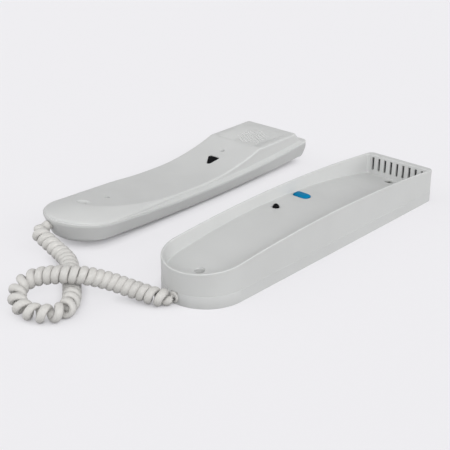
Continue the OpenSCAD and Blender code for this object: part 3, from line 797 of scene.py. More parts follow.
    def holes(self) -> bpy.types.Object:
        """Tools for the screw recesses and the two key holes, with eased mouths.

        Returns:
            All of them as one tool.
        """
        skin, r, wide = Skin(), self.recess_r, self.recess_r + self.recess_ease
        for x in self.screw_at:
            top = self.floor_at(x)
            shape = ((self.pilot_r, self.seam_z - OVER), (self.pilot_r, self.screw_seat),
                     (r, self.screw_seat), (r, top - self.recess_ease), (wide, top + 2 * HAIR),
                     (wide, top + 2 * OVER))
            skin.stack(circle(x, 0, z, radius, 40) for radius, z in shape)
        x, y = self.plunger_at
        top = self.floor_at(x)
        skin.stack(circle(x, y, top + up, self.plunger_hole + g, 32) for g, up in self.key_mouth)
        x, y = self.button_at
        top = self.floor_at(x)
        skin.stack([(px + x, py + y, top + up) for px, py in self.button_outline(self.key_gap + g)]
                   for g, up in self.key_mouth)
        return skin.piece("holes")

    def sound_channel(self) -> bpy.types.Object:
        """Tool for the upright ringer slots and the dark channel behind them.

        Returns:
            The tool.
        """
        skin, slots = Skin(), Skin()
        near = self.plan.end_x - self.end_wall
        back = near + self.sound_wall
        w, more = self.slot_w / 2, self.channel_side
        side = ((self.slot_count - 1) * self.slot_pitch + self.slot_w) / 2 + more
        skin.stack(box_ring(back, back + self.channel, -side, side, z)
                   for z in (self.seam_z + more, self.slot_high + self.channel_top))
        tool = skin.piece("sound_channel")
        for i in range(self.slot_count):
            mid = (i - (self.slot_count - 1) / 2) * self.slot_pitch
            slots.stack(box_ring(near - OVER, back + OVER, mid - w, mid + w, z)
                        for z in (self.slot_low, self.slot_high))
        carve(tool, slots.piece("slots"), Cut.JOIN)
        return tool

    def button_outline(self, grow: float) -> list[Flat]:
        """Rounded oblong of the door button round its own middle.

        Args:
            grow: Margin by which it is grown.

        Returns:
            The ring of points.
        """
        points: list[Flat] = []
        (w, l), r, steps = self.button_size, self.button_round, 8
        for k, (sx, sy) in enumerate(((1, 1), (-1, 1), (-1, -1), (1, -1))):
            for j in range(steps + 1):
                a = math.pi / 2 * (k + j / steps)
                points.append((sx * (w / 2 - r) + (r + grow) * math.cos(a),
                               sy * (l / 2 - r) + (r + grow) * math.sin(a)))
        return points

    def button(self) -> bpy.types.Object:
        """Blue lozenge key with sloping ends and a crowned top.

        Returns:
            The button.
        """
        skin, (x, y), rim = Skin(), self.button_at, self.button_flange
        top = self.floor_at(x) + self.button_up
        seat = self.floor_at(x + self.button_size[0]) - self.floor_t - self.button_clear
        shape = [(rim, seat - rim), (rim, seat), (0, seat)]
        shape += [(grow, top - down) for grow, down in self.button_crown]
        rings = []
        for grow, z in shape:
            bow = self.button_bow if grow < -self.bow_in else 0.0
            rings.append([(x + px, y + py, z - bow * py * py)
                          for px, py in self.button_outline(grow)])
        skin.stack(rings)
        return skin.piece("door_key")


def box_ring(x0: float, x1: float, y0: float, y1: float, z: float) -> list[Point]:
    """Level rectangle as a ring."""
    return [(x0, y0, z), (x1, y0, z), (x1, y1, z), (x0, y1, z)]


@dataclass
class Handset:
    """Handset on its back: lower shell and sculpted face, in its own frame and then laid down.

    Attributes:
        plan: Outline of the face, with its rows.
        back_plan: Outline of the lower shell, with fewer rows.
        at: Where the handset's middle lies.
        yaw: How far it is turned, in degrees.
        back_depth: Height of the parting edge at the arch's lowest point.
        arch_r: Radius of the parting edge's arch.
        arch_x: Station of the arch's lowest point.
        back_r: Radius of the back's arch.
        back_x: Station where the back touches the table.
        back_round: Rounding of the back's sides and tip.
        flank_from: Angle of that rounding from which the flank goes on straight.
        end_round: Rounding of the squared end.
        shell_t: Thickness of both shells.
        part_gap: Gap of the parting line.
        part_lip: Inset and rise of the rings of the lower shell's lip.
        flange_t: Thickness of the face's flange.
        flange_round: Rounding of the flange's edge.
        flange_least: Least thickness of the flange over its hollow side.
        ledge_w: Width of the ledge beside the raised face.
        ledge_least: Share of the ledge at the mouthpiece.
        ledge_from: Station where the ledge starts to widen.
        ledge_run: Run over which it widens.
        ledge_rise: Rise of the ledge towards the raised face.
        ledge_steps: For each ring, share of the width, distance outside the foot, share of rise.
        rim_least: Least height of the raised face over the flange.
        plug_end: Distance of the raised face from the squared end.
        edge_round: Rounding of the raised face's edge.
        edge_least: Share of that rounding at the mouthpiece.
        ear_run: Run of the ear platform's eased end.
        ear_drop: Drop of the ear platform's eased end.
        ear_corner: Extra rounding of the ear platform's corners.
        ear_foot: Distance of the foot of its sloping end from the squared end.
        scoop_z: Height of the hollow at its lowest point.
        ear_z: Height of the ear platform.
        crest_x: Station of the crest between hollow and ear platform.
        ear_in: Distance from the crest to the ear recess.
        ear_far: Distance from the crest to the middle of the receiver.
        ear_depth: Depth of the ear recess at the crest.
        ear_len: Length of the ear recess.
        ear_w: Width of the ear recess.
        ear_belly: How full the recess's floor is along its length.
        ear_ramp: Width of the slope on the recess's near side.
        ear_lip: Least width of that slope.
        ear_fade: Width of the slope on its far side.
        ear_skim: How far the recess stays above its depth.
        ear_lid: Height of the recess's tool above the ear platform.
        hole_d: Diameter of a sound hole.
        hole_pitch: Spacing of the sound holes.
        hole_rings: Rings of sound holes round the middle one.
        hole_mouth: Margin and height of each ring of a sound hole's tool.
        felt_shape: Radius and depth of each ring of the felt disc.
        chin_x: Station of the crown's crease.
        chin_z: Height of the crown.
        chin_r: Radius of the crown.
        crease: Height over which the crown's crease is eased.
        saddle: Half length of the stretch where the hollow runs out at the sides.
        mic_x: Station of the mouthpiece dimple.
        mic_hole: Radius of the hole in the dimple.
        dimple_d: Diameter of the dimple.
        dimple_h: Depth of the dimple.
        dimple_turn: Start, stop and step of the angles of the dimple's rings.
        dimple_span: Where the dimple's tool starts and stops, from its lowest point.
        insert_x: Station of the black insert, whose black is painted shade of the hang hole that it
            stands in for.
        insert_size: Length and width of the insert.
        insert_round: Corner radius of the insert.
        insert_step: How far the insert's point lies off the middle.
        insert_gap: Gap round the insert.
        insert_span: Where the tool of its hole starts and stops, from the face.
        screw_at: Stations of the face screws.
        screw_hole: Radius of their holes.
        screw_span: Where the tools of their holes start and stop, from the face.
        gland_z: Height of the cord gland.
        gland_turn: How far the gland is turned off the axis, in degrees.
        gland_hole: Radius of the gland's hole.
        gland_span: Where the tool of that hole starts and stops, from the tip's centre.
    """

    plan: Plan = field(default_factory=lambda: Plan(tip_rows=44, side_rows=210, columns=64))
    back_plan: Plan = field(default_factory=lambda: Plan(tip_rows=36, side_rows=80, columns=24))
    at: Flat = (-2.2, 101.3)
    yaw: float = 1.3
    back_depth: float = 11.3
    arch_r: float = 1000.0
    arch_x: float = 8.0
    back_r: float = 1500.0
    back_x: float = 15.0
    back_round: float = 11.0
    flank_from: float = 40.0
    end_round: float = 7.0
    shell_t: float = 2.0
    part_gap: float = 0.2
    part_lip: tuple[Flat, ...] = ((0, 0), (0.02, 0.12), (0.06, 0.18))
    flange_t: float = 1.2
    flange_round: float = 0.45
    flange_least: float = 0.4
    ledge_w: float = 2.4
    ledge_least: float = 0.28
    ledge_from: float = -66.0
    ledge_run: float = 52.0
    ledge_rise: float = 1.3
    ledge_steps: tuple[Point, ...] = ((0.8, 0.6, 0.7), (0.94, 0.2, 0.86), (1, 0, 1))
    rim_least: float = 0.12
    plug_end: float = 10.0
    edge_round: float = 1.3
    edge_least: float = 0.4
    ear_run: float = 1.2
    ear_drop: float = 1.0
    ear_corner: float = 0.6
    ear_foot: float = 5.2
    scoop_z: float = 15.6
    ear_z: float = 24.3
    crest_x: float = 55.5
    ear_in: float = 2.0
    ear_far: float = 19.5
    ear_depth: float = 3.0
    ear_len: float = 32.0
    ear_w: float = 38.0
    ear_belly: float = 0.6
    ear_ramp: float = 8.5
    ear_lip: float = 0.4
    ear_fade: float = 13.0
    ear_skim: float = 0.03
    ear_lid: float = 8.0
    hole_d: float = 1.2
    hole_pitch: float = 2.6
    hole_rings: int = 4
    hole_mouth: tuple[Flat, ...] = ((0, -7), (0, -0.3), (0.34, 0.06), (0.34, 2))
    felt_shape: tuple[Flat, ...] = ((10.6, 1.3), (10.9, 1.1), (10.9, 0.25), (10.6, 0.05))
    chin_x: float = -88.5
    chin_z: float = 24.0
    chin_r: float = 50.0
    crease: float = 0.25
    saddle: float = 12.0
    mic_x: float = -81.8
    mic_hole: float = 0.5
    dimple_d: float = 8.2
    dimple_h: float = 1.0
    dimple_turn: tuple[int, int, int] = (4, 52, 3)
    dimple_span: Flat = (-2.5, 9.0)
    insert_x: float = 30.0
    insert_size: Flat = (10.6, 9.0)
    insert_round: float = 1.5
    insert_step: float = -2.4
    insert_gap: float = 0.1
    insert_span: Flat = (-5.0, 6.0)
    screw_at: tuple[float, float] = (-64.0, 43.0)
    screw_hole: float = 1.55
    screw_span: Flat = (-3.2, 4.0)
    gland_z: float = 14.0
    gland_turn: float = 12.0
    gland_hole: float = 2.6
    gland_span: Flat = (18.0, 32.0)

    @property
    def place(self) -> Matrix:
        """Where the handset lies."""
        away = Matrix.Translation(Vector((*self.at, 0)) * MM)
        return away @ Matrix.Rotation(math.radians(self.yaw), 4, "Z")

    @property
    def ear_x(self) -> float:
        """Station where the ear recess starts."""
        return self.crest_x + self.ear_in

    @property
    def ear_mid(self) -> float:
        """Station of the receiver and of the middle sound hole."""
        return self.crest_x + self.ear_far

    def edge_at(self, x: float) -> float:
        """Height of the parting edge at a station."""
        return self.back_depth + arc_rise(x - self.arch_x, self.arch_r)

    def back_at(self, x: float) -> float:
        """Height of the back's lowest line at a station."""
        return arc_rise(x - self.back_x, self.back_r)

    def scoop_at(self, x: float) -> float:
        """Height of the hollow between mouthpiece and ear platform.

        Args:
            x: The station.

        Returns:
            The height.
        """
        end, top = (self.chin_x, self.chin_z) if x < 0 else (self.crest_x, self.ear_z)
        return self.scoop_z + arc_rise(x, arc_through(end, top - self.scoop_z))

    def ledge(self, x: float) -> float:
        """Share of the ledge beside the face: a little at the mouthpiece, all of it further on."""
        wide = ease((x - self.ledge_from) / self.ledge_run)
        return self.ledge_least + (1 - self.ledge_least) * wide

    def recess_at(self, x: float, y: float) -> float:
        """Depth of the ear recess: a dish that starts deep at the crest and runs out at the end.

        Args:
            x: The station.
            y: The place across.

        Returns:
            The depth below the ear platform.
        """
        t, w = (x - self.ear_x) / self.ear_len, self.ear_w / 2
        deep = self.ear_depth * (1 - t) * (1 + self.ear_belly * t)
        near = min((y + w) / (self.ear_ramp * deep / self.ear_depth + self.ear_lip), 1.0)
        return deep * near * ease((w - y) / self.ear_fade)

    def face_at(self, x: float, y: float) -> float:
        """Height of the face: mouthpiece crown, hollow and ear platform.

        Args:
            x: The station.
            y: The place across.

        Returns:
            The height.
        """
        edge = self.plan.width / 2 - self.ledge_w
        drop = self.chin_r - math.sqrt(self.chin_r ** 2 - edge ** 2)
        tilt = math.atan((self.chin_z - self.scoop_z - drop) / -self.chin_x)
        roof = self.ear_z
        if x < 0:
            run = x - self.chin_x
            axis = self.chin_z - self.chin_r
            if run < 0:
                roof = axis + math.sqrt(max(self.chin_r ** 2 - y * y - run * run, 1.0))
            else:
                roof = (axis - run * math.tan(tilt)
                        + math.sqrt(self.chin_r ** 2 - y * y) / math.cos(tilt))
        if abs(x) < self.saddle and abs(y) <= edge:
            roof = max(roof, self.scoop_at(x))
        height = soft_min(roof, self.scoop_at(x), self.crease)
        return max(height, self.edge_at(x) + self.flange_t + self.rim_least)

    def build(self) -> None:
        """Make both shells and the felt behind the sound holes."""
        back = self.back()
        dress(back, SHELL_WHITE)
        stand_for(back, "handset", "handset_back")
        face = self.face()
        dress(face, WHITE, angle=28)
        stand_for(face, "handset", "handset_face")
        felt = self.felt()
        dress(felt, FELT)
        stand_for(felt, "handset")

    def back(self) -> bpy.types.Object:
        """Lower shell with its rounded flanks and ends.

        Returns:
            The shell.
        """
        plan, bow = self.back_plan, math.radians(self.flank_from)
        skin, squared = Skin(), plan.squared()

        def side(drawn: float, a: float) -> list[Point]:
            """Ring of the shell's outside or inside.

            Args:
                drawn: Thickness by which the outside is drawn in.
                a: Angle of its rounding, from 0 at the bed.

            Returns:
                The ring of points.
            """
            r, e = self.back_round - drawn, self.end_round - drawn
            s, c = 1 - math.sin(a), 1 - math.cos(a)
            up = 0.0 if drawn else max((math.cos(bow) - math.cos(a)) / math.cos(bow), 0.0)
            inset = (1 - math.sin(bow)) * (1 - up) if up else s
            outline = plan.border(plan.half(level(drawn + r * inset), drawn + e * s))
            found = []
            for (x, y), end in zip(outline, squared):
                low = self.back_at(x) + drawn
                rise = r * min(c, 1 - math.cos(bow)) if up else r * c
                rise += up * (self.edge_at(x) - self.part_gap - low - rise)
                found.append((x, y, low + rise + (e * c - rise) * end))
            return found

        def brim(inset: float, up: float) -> list[Point]:
            """Ring along the parting edge."""
            outline = plan.border(plan.half(level(inset), inset))
            return [(x, y, self.edge_at(x) - self.part_gap + up) for x, y in outline]

        def bed(drawn: float) -> list[list[Point]]:
            """Sheet inside the lowest ring."""
            half = plan.half(level(self.back_round), self.end_round)
            return [[(x, y, self.back_at(x) + drawn) for x, y in row] for row in plan.rows(half)]

        start = skin.lattice(bed(0))
        rings = [side(0, a) for a in quarter(9)[1:]]
        rings += [brim(inset, up) for inset, up in self.part_lip]
        rings.append(brim(self.shell_t, self.part_lip[-1][1]))
        rings += [side(self.shell_t, a) for a in reversed(quarter(5)[1:])]
        last = skin.follow(start, rings)
        skin.bridge(last, skin.lattice(bed(self.shell_t)))
        made = skin.piece("handset_shell", self.place)
        hole = Skin()
        hole.stack(circle(0, 0, z, self.gland_hole, 32) for z in self.gland_span)
        turn = (Matrix.Translation(Vector((plan.round_x, 0, self.gland_z)) * MM)
                @ Matrix.Rotation(math.radians(-self.gland_turn), 4, "Z")
                @ Matrix.Rotation(math.radians(-90), 4, "Y"))
        carve(made, hole.piece("gland_hole", self.place @ turn))
        return made

    def face(self) -> bpy.types.Object:
        """Face cover: ledge, rounded edges, scoop, crown, ear recess and all its holes.

        Returns:
            The cover.
        """
        skin, plan, squared = Skin(), self.plan, self.plan.squared()
        r, q, top = self.edge_round, self.flange_round, self.flange_t

        def beside(share: float, more: float) -> Inset:
            """Inset by a share of the ledge and a bit more."""
            return lambda x: share * self.ledge_w * self.ledge(x) + more

        def outline(share: float, more: float, end_inset: float) -> list[Flat]:
            """Outline drawn in by a share of the ledge and a bit more."""
            return plan.border(plan.half(beside(share, more), end_inset, self.ear_corner))

        def collar(inset: float, lift: float) -> list[Point]:
            """Ring on the flange, drawn in and lifted where the ledge shows."""
            ring = plan.border(plan.half(lambda x: inset * self.ledge(x), inset))
            return [(x, y, self.edge_at(x) + top + lift * self.ledge(x)) for x, y in ring]

        def step(share: float, end: float, lift: float) -> list[Point]:
            """Ring where the ledge meets the raised face."""
            ring = outline(share, 0, end)
            return [(x, y, self.edge_at(x) + top + lift * self.ledge(x)) for x, y in ring]

        def brow(a: float) -> list[Point]:
            """Ring of the raised face's rounded edge.

            Args:
                a: Angle of the rounding, from 0 at the ledge.

            Returns:
                The ring of points.
            """
            s, c, least = 1 - math.sin(a), 1 - math.cos(a), self.edge_least
            ring = outline(1, r * c, self.plug_end + self.ear_run * c)
            found = []
            for (x, y), end in zip(ring, squared):
                soft = r * (least + (1 - least) * self.ledge(x)) + (self.ear_drop - r) * end
                floor = self.edge_at(x) + top + (self.ledge_rise + HAIR) * self.ledge(x)
                found.append((x, y, max(self.face_at(x, y) - soft * s, floor)))
            return found

        half = plan.half(beside(1, self.shell_t), self.plug_end + self.shell_t)
        rows = plan.rows(half)
        start = skin.lattice([[(x, y, self.under(x, y)) for x, y in row] for row in rows])
        low, wide = plan.border(plan.half(level(HAIR), HAIR)), plan.border(plan.half(level(0), 0))
        rings = [[(x, y, self.edge_at(x)) for x, y in ring] for ring in (plan.border(half), low)]
        rings.append([(x, y, self.edge_at(x) + HAIR) for x, y in wide])
        rings += [collar(q * (1 - math.cos(a)), -q * (1 - math.sin(a))) for a in quarter(3)]
        rings += [step(share, self.ear_foot - end, rise * self.ledge_rise)
                  for share, end, rise in self.ledge_steps]
        rings += [brow(a) for a in quarter(6)]
        last = skin.follow(start, rings)
        half = plan.half(beside(1, r), self.plug_end + self.ear_run, self.ear_corner)
        skin.bridge(last, skin.lattice([[(x, y, self.face_at(x, y)) for x, y in row]
                                        for row in plan.rows(half)]))
        made = skin.piece("handset_cover", self.place)
        carve(made, self.recesses())
        carve(made, self.sound_holes())
        return made

    def under(self, x: float, y: float) -> float:
        """Underside of the face, hollowed out below the ear recess.

        Args:
            x: The station.
            y: The place across.

        Returns:
            The height.
        """
        height = self.face_at(x, y) - self.shell_t
        if x > 0:
            height = min(height, self.ear_z - self.ear_depth - self.shell_t)
        return max(height, self.edge_at(x) + self.flange_least)

    def recesses(self) -> bpy.types.Object:
        """Tools for the ear recess, the mouthpiece dimple, the insert and the screw holes.

        Returns:
            All of them as one tool.
        """
        skin, long, wide = Skin(), 24, 48
        across = [self.ear_w * (j / wide - 0.5) for j in range(wide + 1)]
        along = [self.ear_x + self.ear_len * i / long for i in range(long + 1)]
        top = self.ear_z + self.ear_skim
        border = skin.lattice([[(x, y, top - self.recess_at(x, y)) for y in across] for x in along])
        lid = skin.ring((*skin.points[i][:2], self.ear_z + self.ear_lid) for i in border)
        skin.bridge(border, lid)
        skin.faces.append(tuple(lid))
        ball = arc_through(self.dimple_d / 2, self.dimple_h)
        x = self.mic_x
        low = self.scoop_at(x) - self.dimple_h
        deep, high = self.dimple_span
        dish = [(self.mic_hole, low + deep)]
        dish += [(ball * math.sin(a), low + ball * (1 - math.cos(a)))
                 for a in map(math.radians, range(*self.dimple_turn))]
        skin.stack(circle(x, 0, z, r, 64) for r, z in dish + [(dish[-1][0], low + high)])
        top = self.scoop_at(self.insert_x)
        outline = self.insert_outline(self.insert_gap)
        skin.stack([(self.insert_x + px, py, top + up) for px, py in outline]
                   for up in self.insert_span)
        for x in self.screw_at:
            top = self.scoop_at(x)
            skin.stack(circle(x, 0, top + up, self.screw_hole, 32) for up in self.screw_span)
        return skin.piece("recesses", self.place)

    def sound_holes(self) -> bpy.types.Object:
        """Tools for the hexagon of sound holes in the ear recess.

        Returns:
            All of them as one tool.
        """
        skin, n, r = Skin(), self.hole_rings, self.hole_d / 2
        spots = [(i, j) for i in range(-n, n + 1) for j in range(-n, n + 1) if abs(i + j) <= n]
        for i, j in spots:
            x = self.ear_mid + self.hole_pitch * (i + j / 2)
            y = self.hole_pitch * j * math.sqrt(3) / 2
            top = self.ear_z - self.recess_at(x, y)
            skin.stack(circle(x, y, top + up, r + grow, 16) for grow, up in self.hole_mouth)
        return skin.piece("sound_holes", self.place)

    def felt(self) -> bpy.types.Object:
        """Pale felt disc that shows behind the sound holes.

        Returns:
            The disc.
        """
        skin = Skin()
        roof = self.ear_z - self.ear_depth - self.shell_t
        skin.stack(circle(self.ear_mid, 0, roof - down, r, 64) for r, down in self.felt_shape)
        return skin.piece("receiver_felt", self.place)

    def insert_outline(self, grow: float) -> list[Flat]:
        """Lopsided round triangle that points to the mouthpiece.

        Args:
            grow: Margin by which it is grown.

        Returns:
            The ring of points.
        """
        (l, w), r, point = self.insert_size, self.insert_round, self.insert_step
        left = math.degrees(math.atan((w / 2 - r - point) / (l - 2 * r)))
        right = math.degrees(math.atan((w / 2 - r + point) / (l - 2 * r)))
        spans = ((l / 2 - r, w / 2 - r, 0, 90 + left), (r - l / 2, point, 90 + left, 270 - right),
                 (l / 2 - r, r - w / 2, 270 - right, 360))
        return [(x + (r + grow) * math.cos(a), y + (r + grow) * math.sin(a))
                for x, y, start, stop in spans
                for a in (math.radians(start + (stop - start) * k / 6) for k in range(7))]


@dataclass
class CurlyCord:
    """Curly cord from the handset's gland, in a loop over the table, to the cradle's gland.

    Attributes:
        strand: Diameter of the cord.
        squash: Share by which the curled strand is flattened against its neighbours.
        curl_r: Radius of the curls at the strand's middle.
        lift: How far the thicker strand lies above the route.
        lead_in: Share of a curl over which the strand leaves the axis.
        lead_out: Share of a curl over which it returns.
        start_run: Straight run in front of the handset's gland.
        end_run: Straight run in front of the cradle's gland.
        start_space: Spacing of the curls at the handset's gland.
        end_space: Spacing of the curls at the cradle's gland.
        start_in: How far the strand reaches into the handset's gland.
        end_in: How far it reaches into the cradle's gland.
        bend_from: Bend of the strand above which it is flattened.
        bend_span: Span of bends over which the flattening sets in.
        bulge: Share of the flattening by which the strand widens to the sides.
        rings_per_curl: Rings of the mesh in each curl.
        sides: Points of each ring.
        end_x: Station of the cradle's round end.
        round_x: Station of the centre of the handset's tip.
        handset_nose: Distance from there to the gland's nose.
        nose_len: Length of that nose.
        cradle_nose: Length of the nose of the cradle's gland.
        gland_gap: Gap between the cradle's end and its gland.
        gland_z: Height of the cradle's gland.
        route: Points of the curls' axis, each with the spacing of the curls there.
    """

    strand: float = 4.1
    squash: float = 0.14
    curl_r: float = 3.4
    lift: float = 0.3
    lead_in: float = 0.6
    lead_out: float = 0.35
    start_run: float = 3.8
    end_run: float = 2.0
    start_space: float = 7.0
    end_space: float = 6.0
    start_in: float = 1.5
    end_in: float = 1.0
    bend_from: float = 0.4
    bend_span: float = 0.6
    bulge: float = 0.8
    rings_per_curl: int = 24
    sides: int = 14
    end_x: float = -107.5
    round_x: float = -82.5
    handset_nose: float = 25.2
    nose_len: float = 3.0
    cradle_nose: float = 1.2
    gland_gap: float = 0.1
    gland_z: float = 4.0
    route: tuple[tuple[float, float, float, float], ...] = (
        (-116.9, 103.4, 12.8, 5.6), (-117.9, 99.2, 11.6, 4.9), (-117.9, 93.7, 9.9, 4.6),
        (-118.2, 87.5, 8, 4.5), (-118.5, 80, 6, 4.5), (-121, 71.5, 5.3, 4.5),
        (-127.5, 61.5, 5.2, 4.5), (-135.5, 51, 5.2, 4.7), (-143, 41.5, 5.2, 5.2),
        (-150.5, 33.5, 5.2, 6.2), (-158.5, 29.5, 5.2, 7), (-165.5, 32.5, 5.2, 7),
        (-170, 39.5, 5.2, 6.8), (-171.5, 47.5, 6, 6.6), (-168.5, 55, 8, 6.6),
        (-162.5, 59.5, 10.5, 6.4), (-156, 58, 12.8, 5.6), (-151, 52.5, 14.6, 4.8),
        (-147, 46.5, 15.7, 4.5), (-142.5, 41, 16, 4.4), (-137.5, 36.5, 15, 4.3),
        (-132, 32.5, 12.8, 4.2), (-126.5, 27, 10.2, 4.2), (-122, 20, 7.8, 4.3),
        (-118.6, 12.5, 6.2, 4.6), (-116.4, 7, 5.4, 5.2), (-114.4, 2.6, 5.2, 5.6))

    def build(self, handset: Handset) -> None:
        """Args:
            handset: The handset that the cord leaves.
        """
        mids = self.mids(handset)
        cord = self.tube(mids)
        dress(cord, JACKET, angle=60)
        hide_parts("curly_cord")
        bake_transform(cord)

    def start_at(self, handset: Handset, far: float) -> Vector:
        """Point on the axis of the handset's gland.

        Args:
            handset: The handset.
            far: Distance in front of the gland's nose.

        Returns:
            The point.
        """
        turn = math.radians(180 - handset.gland_turn)
        reach = self.handset_nose + self.nose_len + far
        spot = Vector((self.round_x + reach * math.cos(turn), reach * math.sin(turn), 0))
        spot = Matrix.Rotation(math.radians(handset.yaw), 3, "Z") @ spot
        return spot + Vector((*handset.at, handset.gland_z))

    def end_at(self, far: float) -> Vector:
        """Point on the cradle gland's axis, that far in front of its nose."""
        return Vector((self.end_x - self.gland_gap - self.cradle_nose - far, 0, self.gland_z))

    def mids(self, handset: Handset) -> list[Vector]:
        """Centreline of the strand over all its curls.

        Args:
            handset: The handset that the cord leaves.

        Returns:
            Its points in order.
        """
        axis = [Vector((*self.start_at(handset, far), self.start_space))
                for far in (0, self.start_run)]
        axis += [Vector((x, y, z + self.lift, space)) for x, y, z, space in self.route]
        axis += [Vector((*self.end_at(far), self.end_space)) for far in (self.end_run, 0)]

        def along(u: float) -> Vector:
            """Point on the smooth curve through the axis points.

            Args:
                u: Number of the axis point, with the share of the way to the next.

            Returns:
                The point and, as its fourth number, the spacing of the curls there.
            """
            i = max(1, min(int(u), len(axis) - 3))
            t = u - i
            a, b, c, d = axis[i - 1:i + 3]
            return (2 * b + (c - a) * t + (2 * a - 5 * b + 4 * c - d) * t * t
                    + (3 * b - a - 3 * c + d) * t * t * t) / 2

        steps, bit = 8, 0.01
        table = [(0.0, 1.0)]
        for k in range((len(axis) - 3) * steps):
            u = 1 + (k + 1) / steps
            a, b = along(1 + k / steps), along(u)
            table.append((table[-1][0] + (b - a).to_3d().length * 2 / (a[3] + b[3]), u))
        curls = table[-1][0]
        count = round(curls * self.rings_per_curl)
        found = [self.start_at(handset, -self.start_in), self.start_at(handset, 0)]
        row = 0
        for k in range(count + 1):
            n = curls * k / count
            while row < len(table) - 2 and table[row + 1][0] < n:
                row += 1
            (n0, u0), (n1, u1) = table[row], table[row + 1]
            u = u0 + (u1 - u0) * (n - n0) / (n1 - n0)
            way = (along(u + bit) - along(u - bit)).to_3d().normalized()
            across = way.cross(Vector((0, 0, 1))).normalized()
            up = across.cross(way)
            r = self.curl_r * min(ease(n / self.lead_in), ease((curls - n) / self.lead_out))
            turn = 2 * math.pi * n
            found.append(along(u).to_3d() + r * (math.cos(turn) * across + math.sin(turn) * up))
        return found + [self.end_at(0), self.end_at(-self.end_in)]

    def tube(self, mids: Sequence[Vector]) -> bpy.types.Object:
        """Round strand along the centreline, a little flattened where it curls.

        Args:
            mids: The centreline.

        Returns:
            The strand.
        """
        skin, last = Skin(), len(mids) - 1
        normal = Vector((0, 0, 1))
        rings = []
        for i, mid in enumerate(mids):
            way = (mids[min(i + 1, last)] - mids[max(i - 1, 0)]).normalized()
            bend = mids[min(i + 2, last)] + mids[max(i - 2, 0)] - 2 * mid
            inward = ease((bend.length - self.bend_from) / self.bend_span)
            normal = (normal - normal.dot(way) * way).normalized()
            if inward > 0:
                bend = (bend - bend.dot(way) * way).normalized()
                normal = normal.lerp(bend, inward).normalized()
            side = way.cross(normal)
            flat, r = self.squash * inward, self.strand / 2
            wide = 1 + self.bulge * flat
            rings.append([tuple(mid + r * (math.cos(a) * (1 - flat) * normal
                                           + math.sin(a) * wide * side))
                          for a in (2 * math.pi * j / self.sides for j in range(self.sides))])
        skin.stack(rings)
        return skin.piece("cord_strand")


@dataclass(frozen=True)
class Lamp:
    """One large soft light, far away.

    Attributes:
        name: Name of the light.
        turn: Where it stands round the object, in degrees from +X.
        rise: How high it stands, in degrees.
        power: Strength as Blender counts it for a sun.
        spread: How wide it looks from the object, in degrees.
    """

    name: str
    turn: float
    rise: float
    power: float
    spread: float = 40.0

    def place(self) -> None:
        """Hang the light."""
        data = bpy.data.lights.new(self.name, "SUN")
        data.energy, data.angle = self.power, math.radians(self.spread)
        made = bpy.data.objects.new(self.name, data)
        bpy.context.scene.collection.objects.link(made)
        turn, rise = math.radians(self.turn), math.radians(self.rise)
        flat = math.cos(rise)
        away = Vector((math.cos(turn) * flat, math.sin(turn) * flat, math.sin(rise)))
        made.rotation_euler = away.to_track_quat("Z", "Y").to_euler()


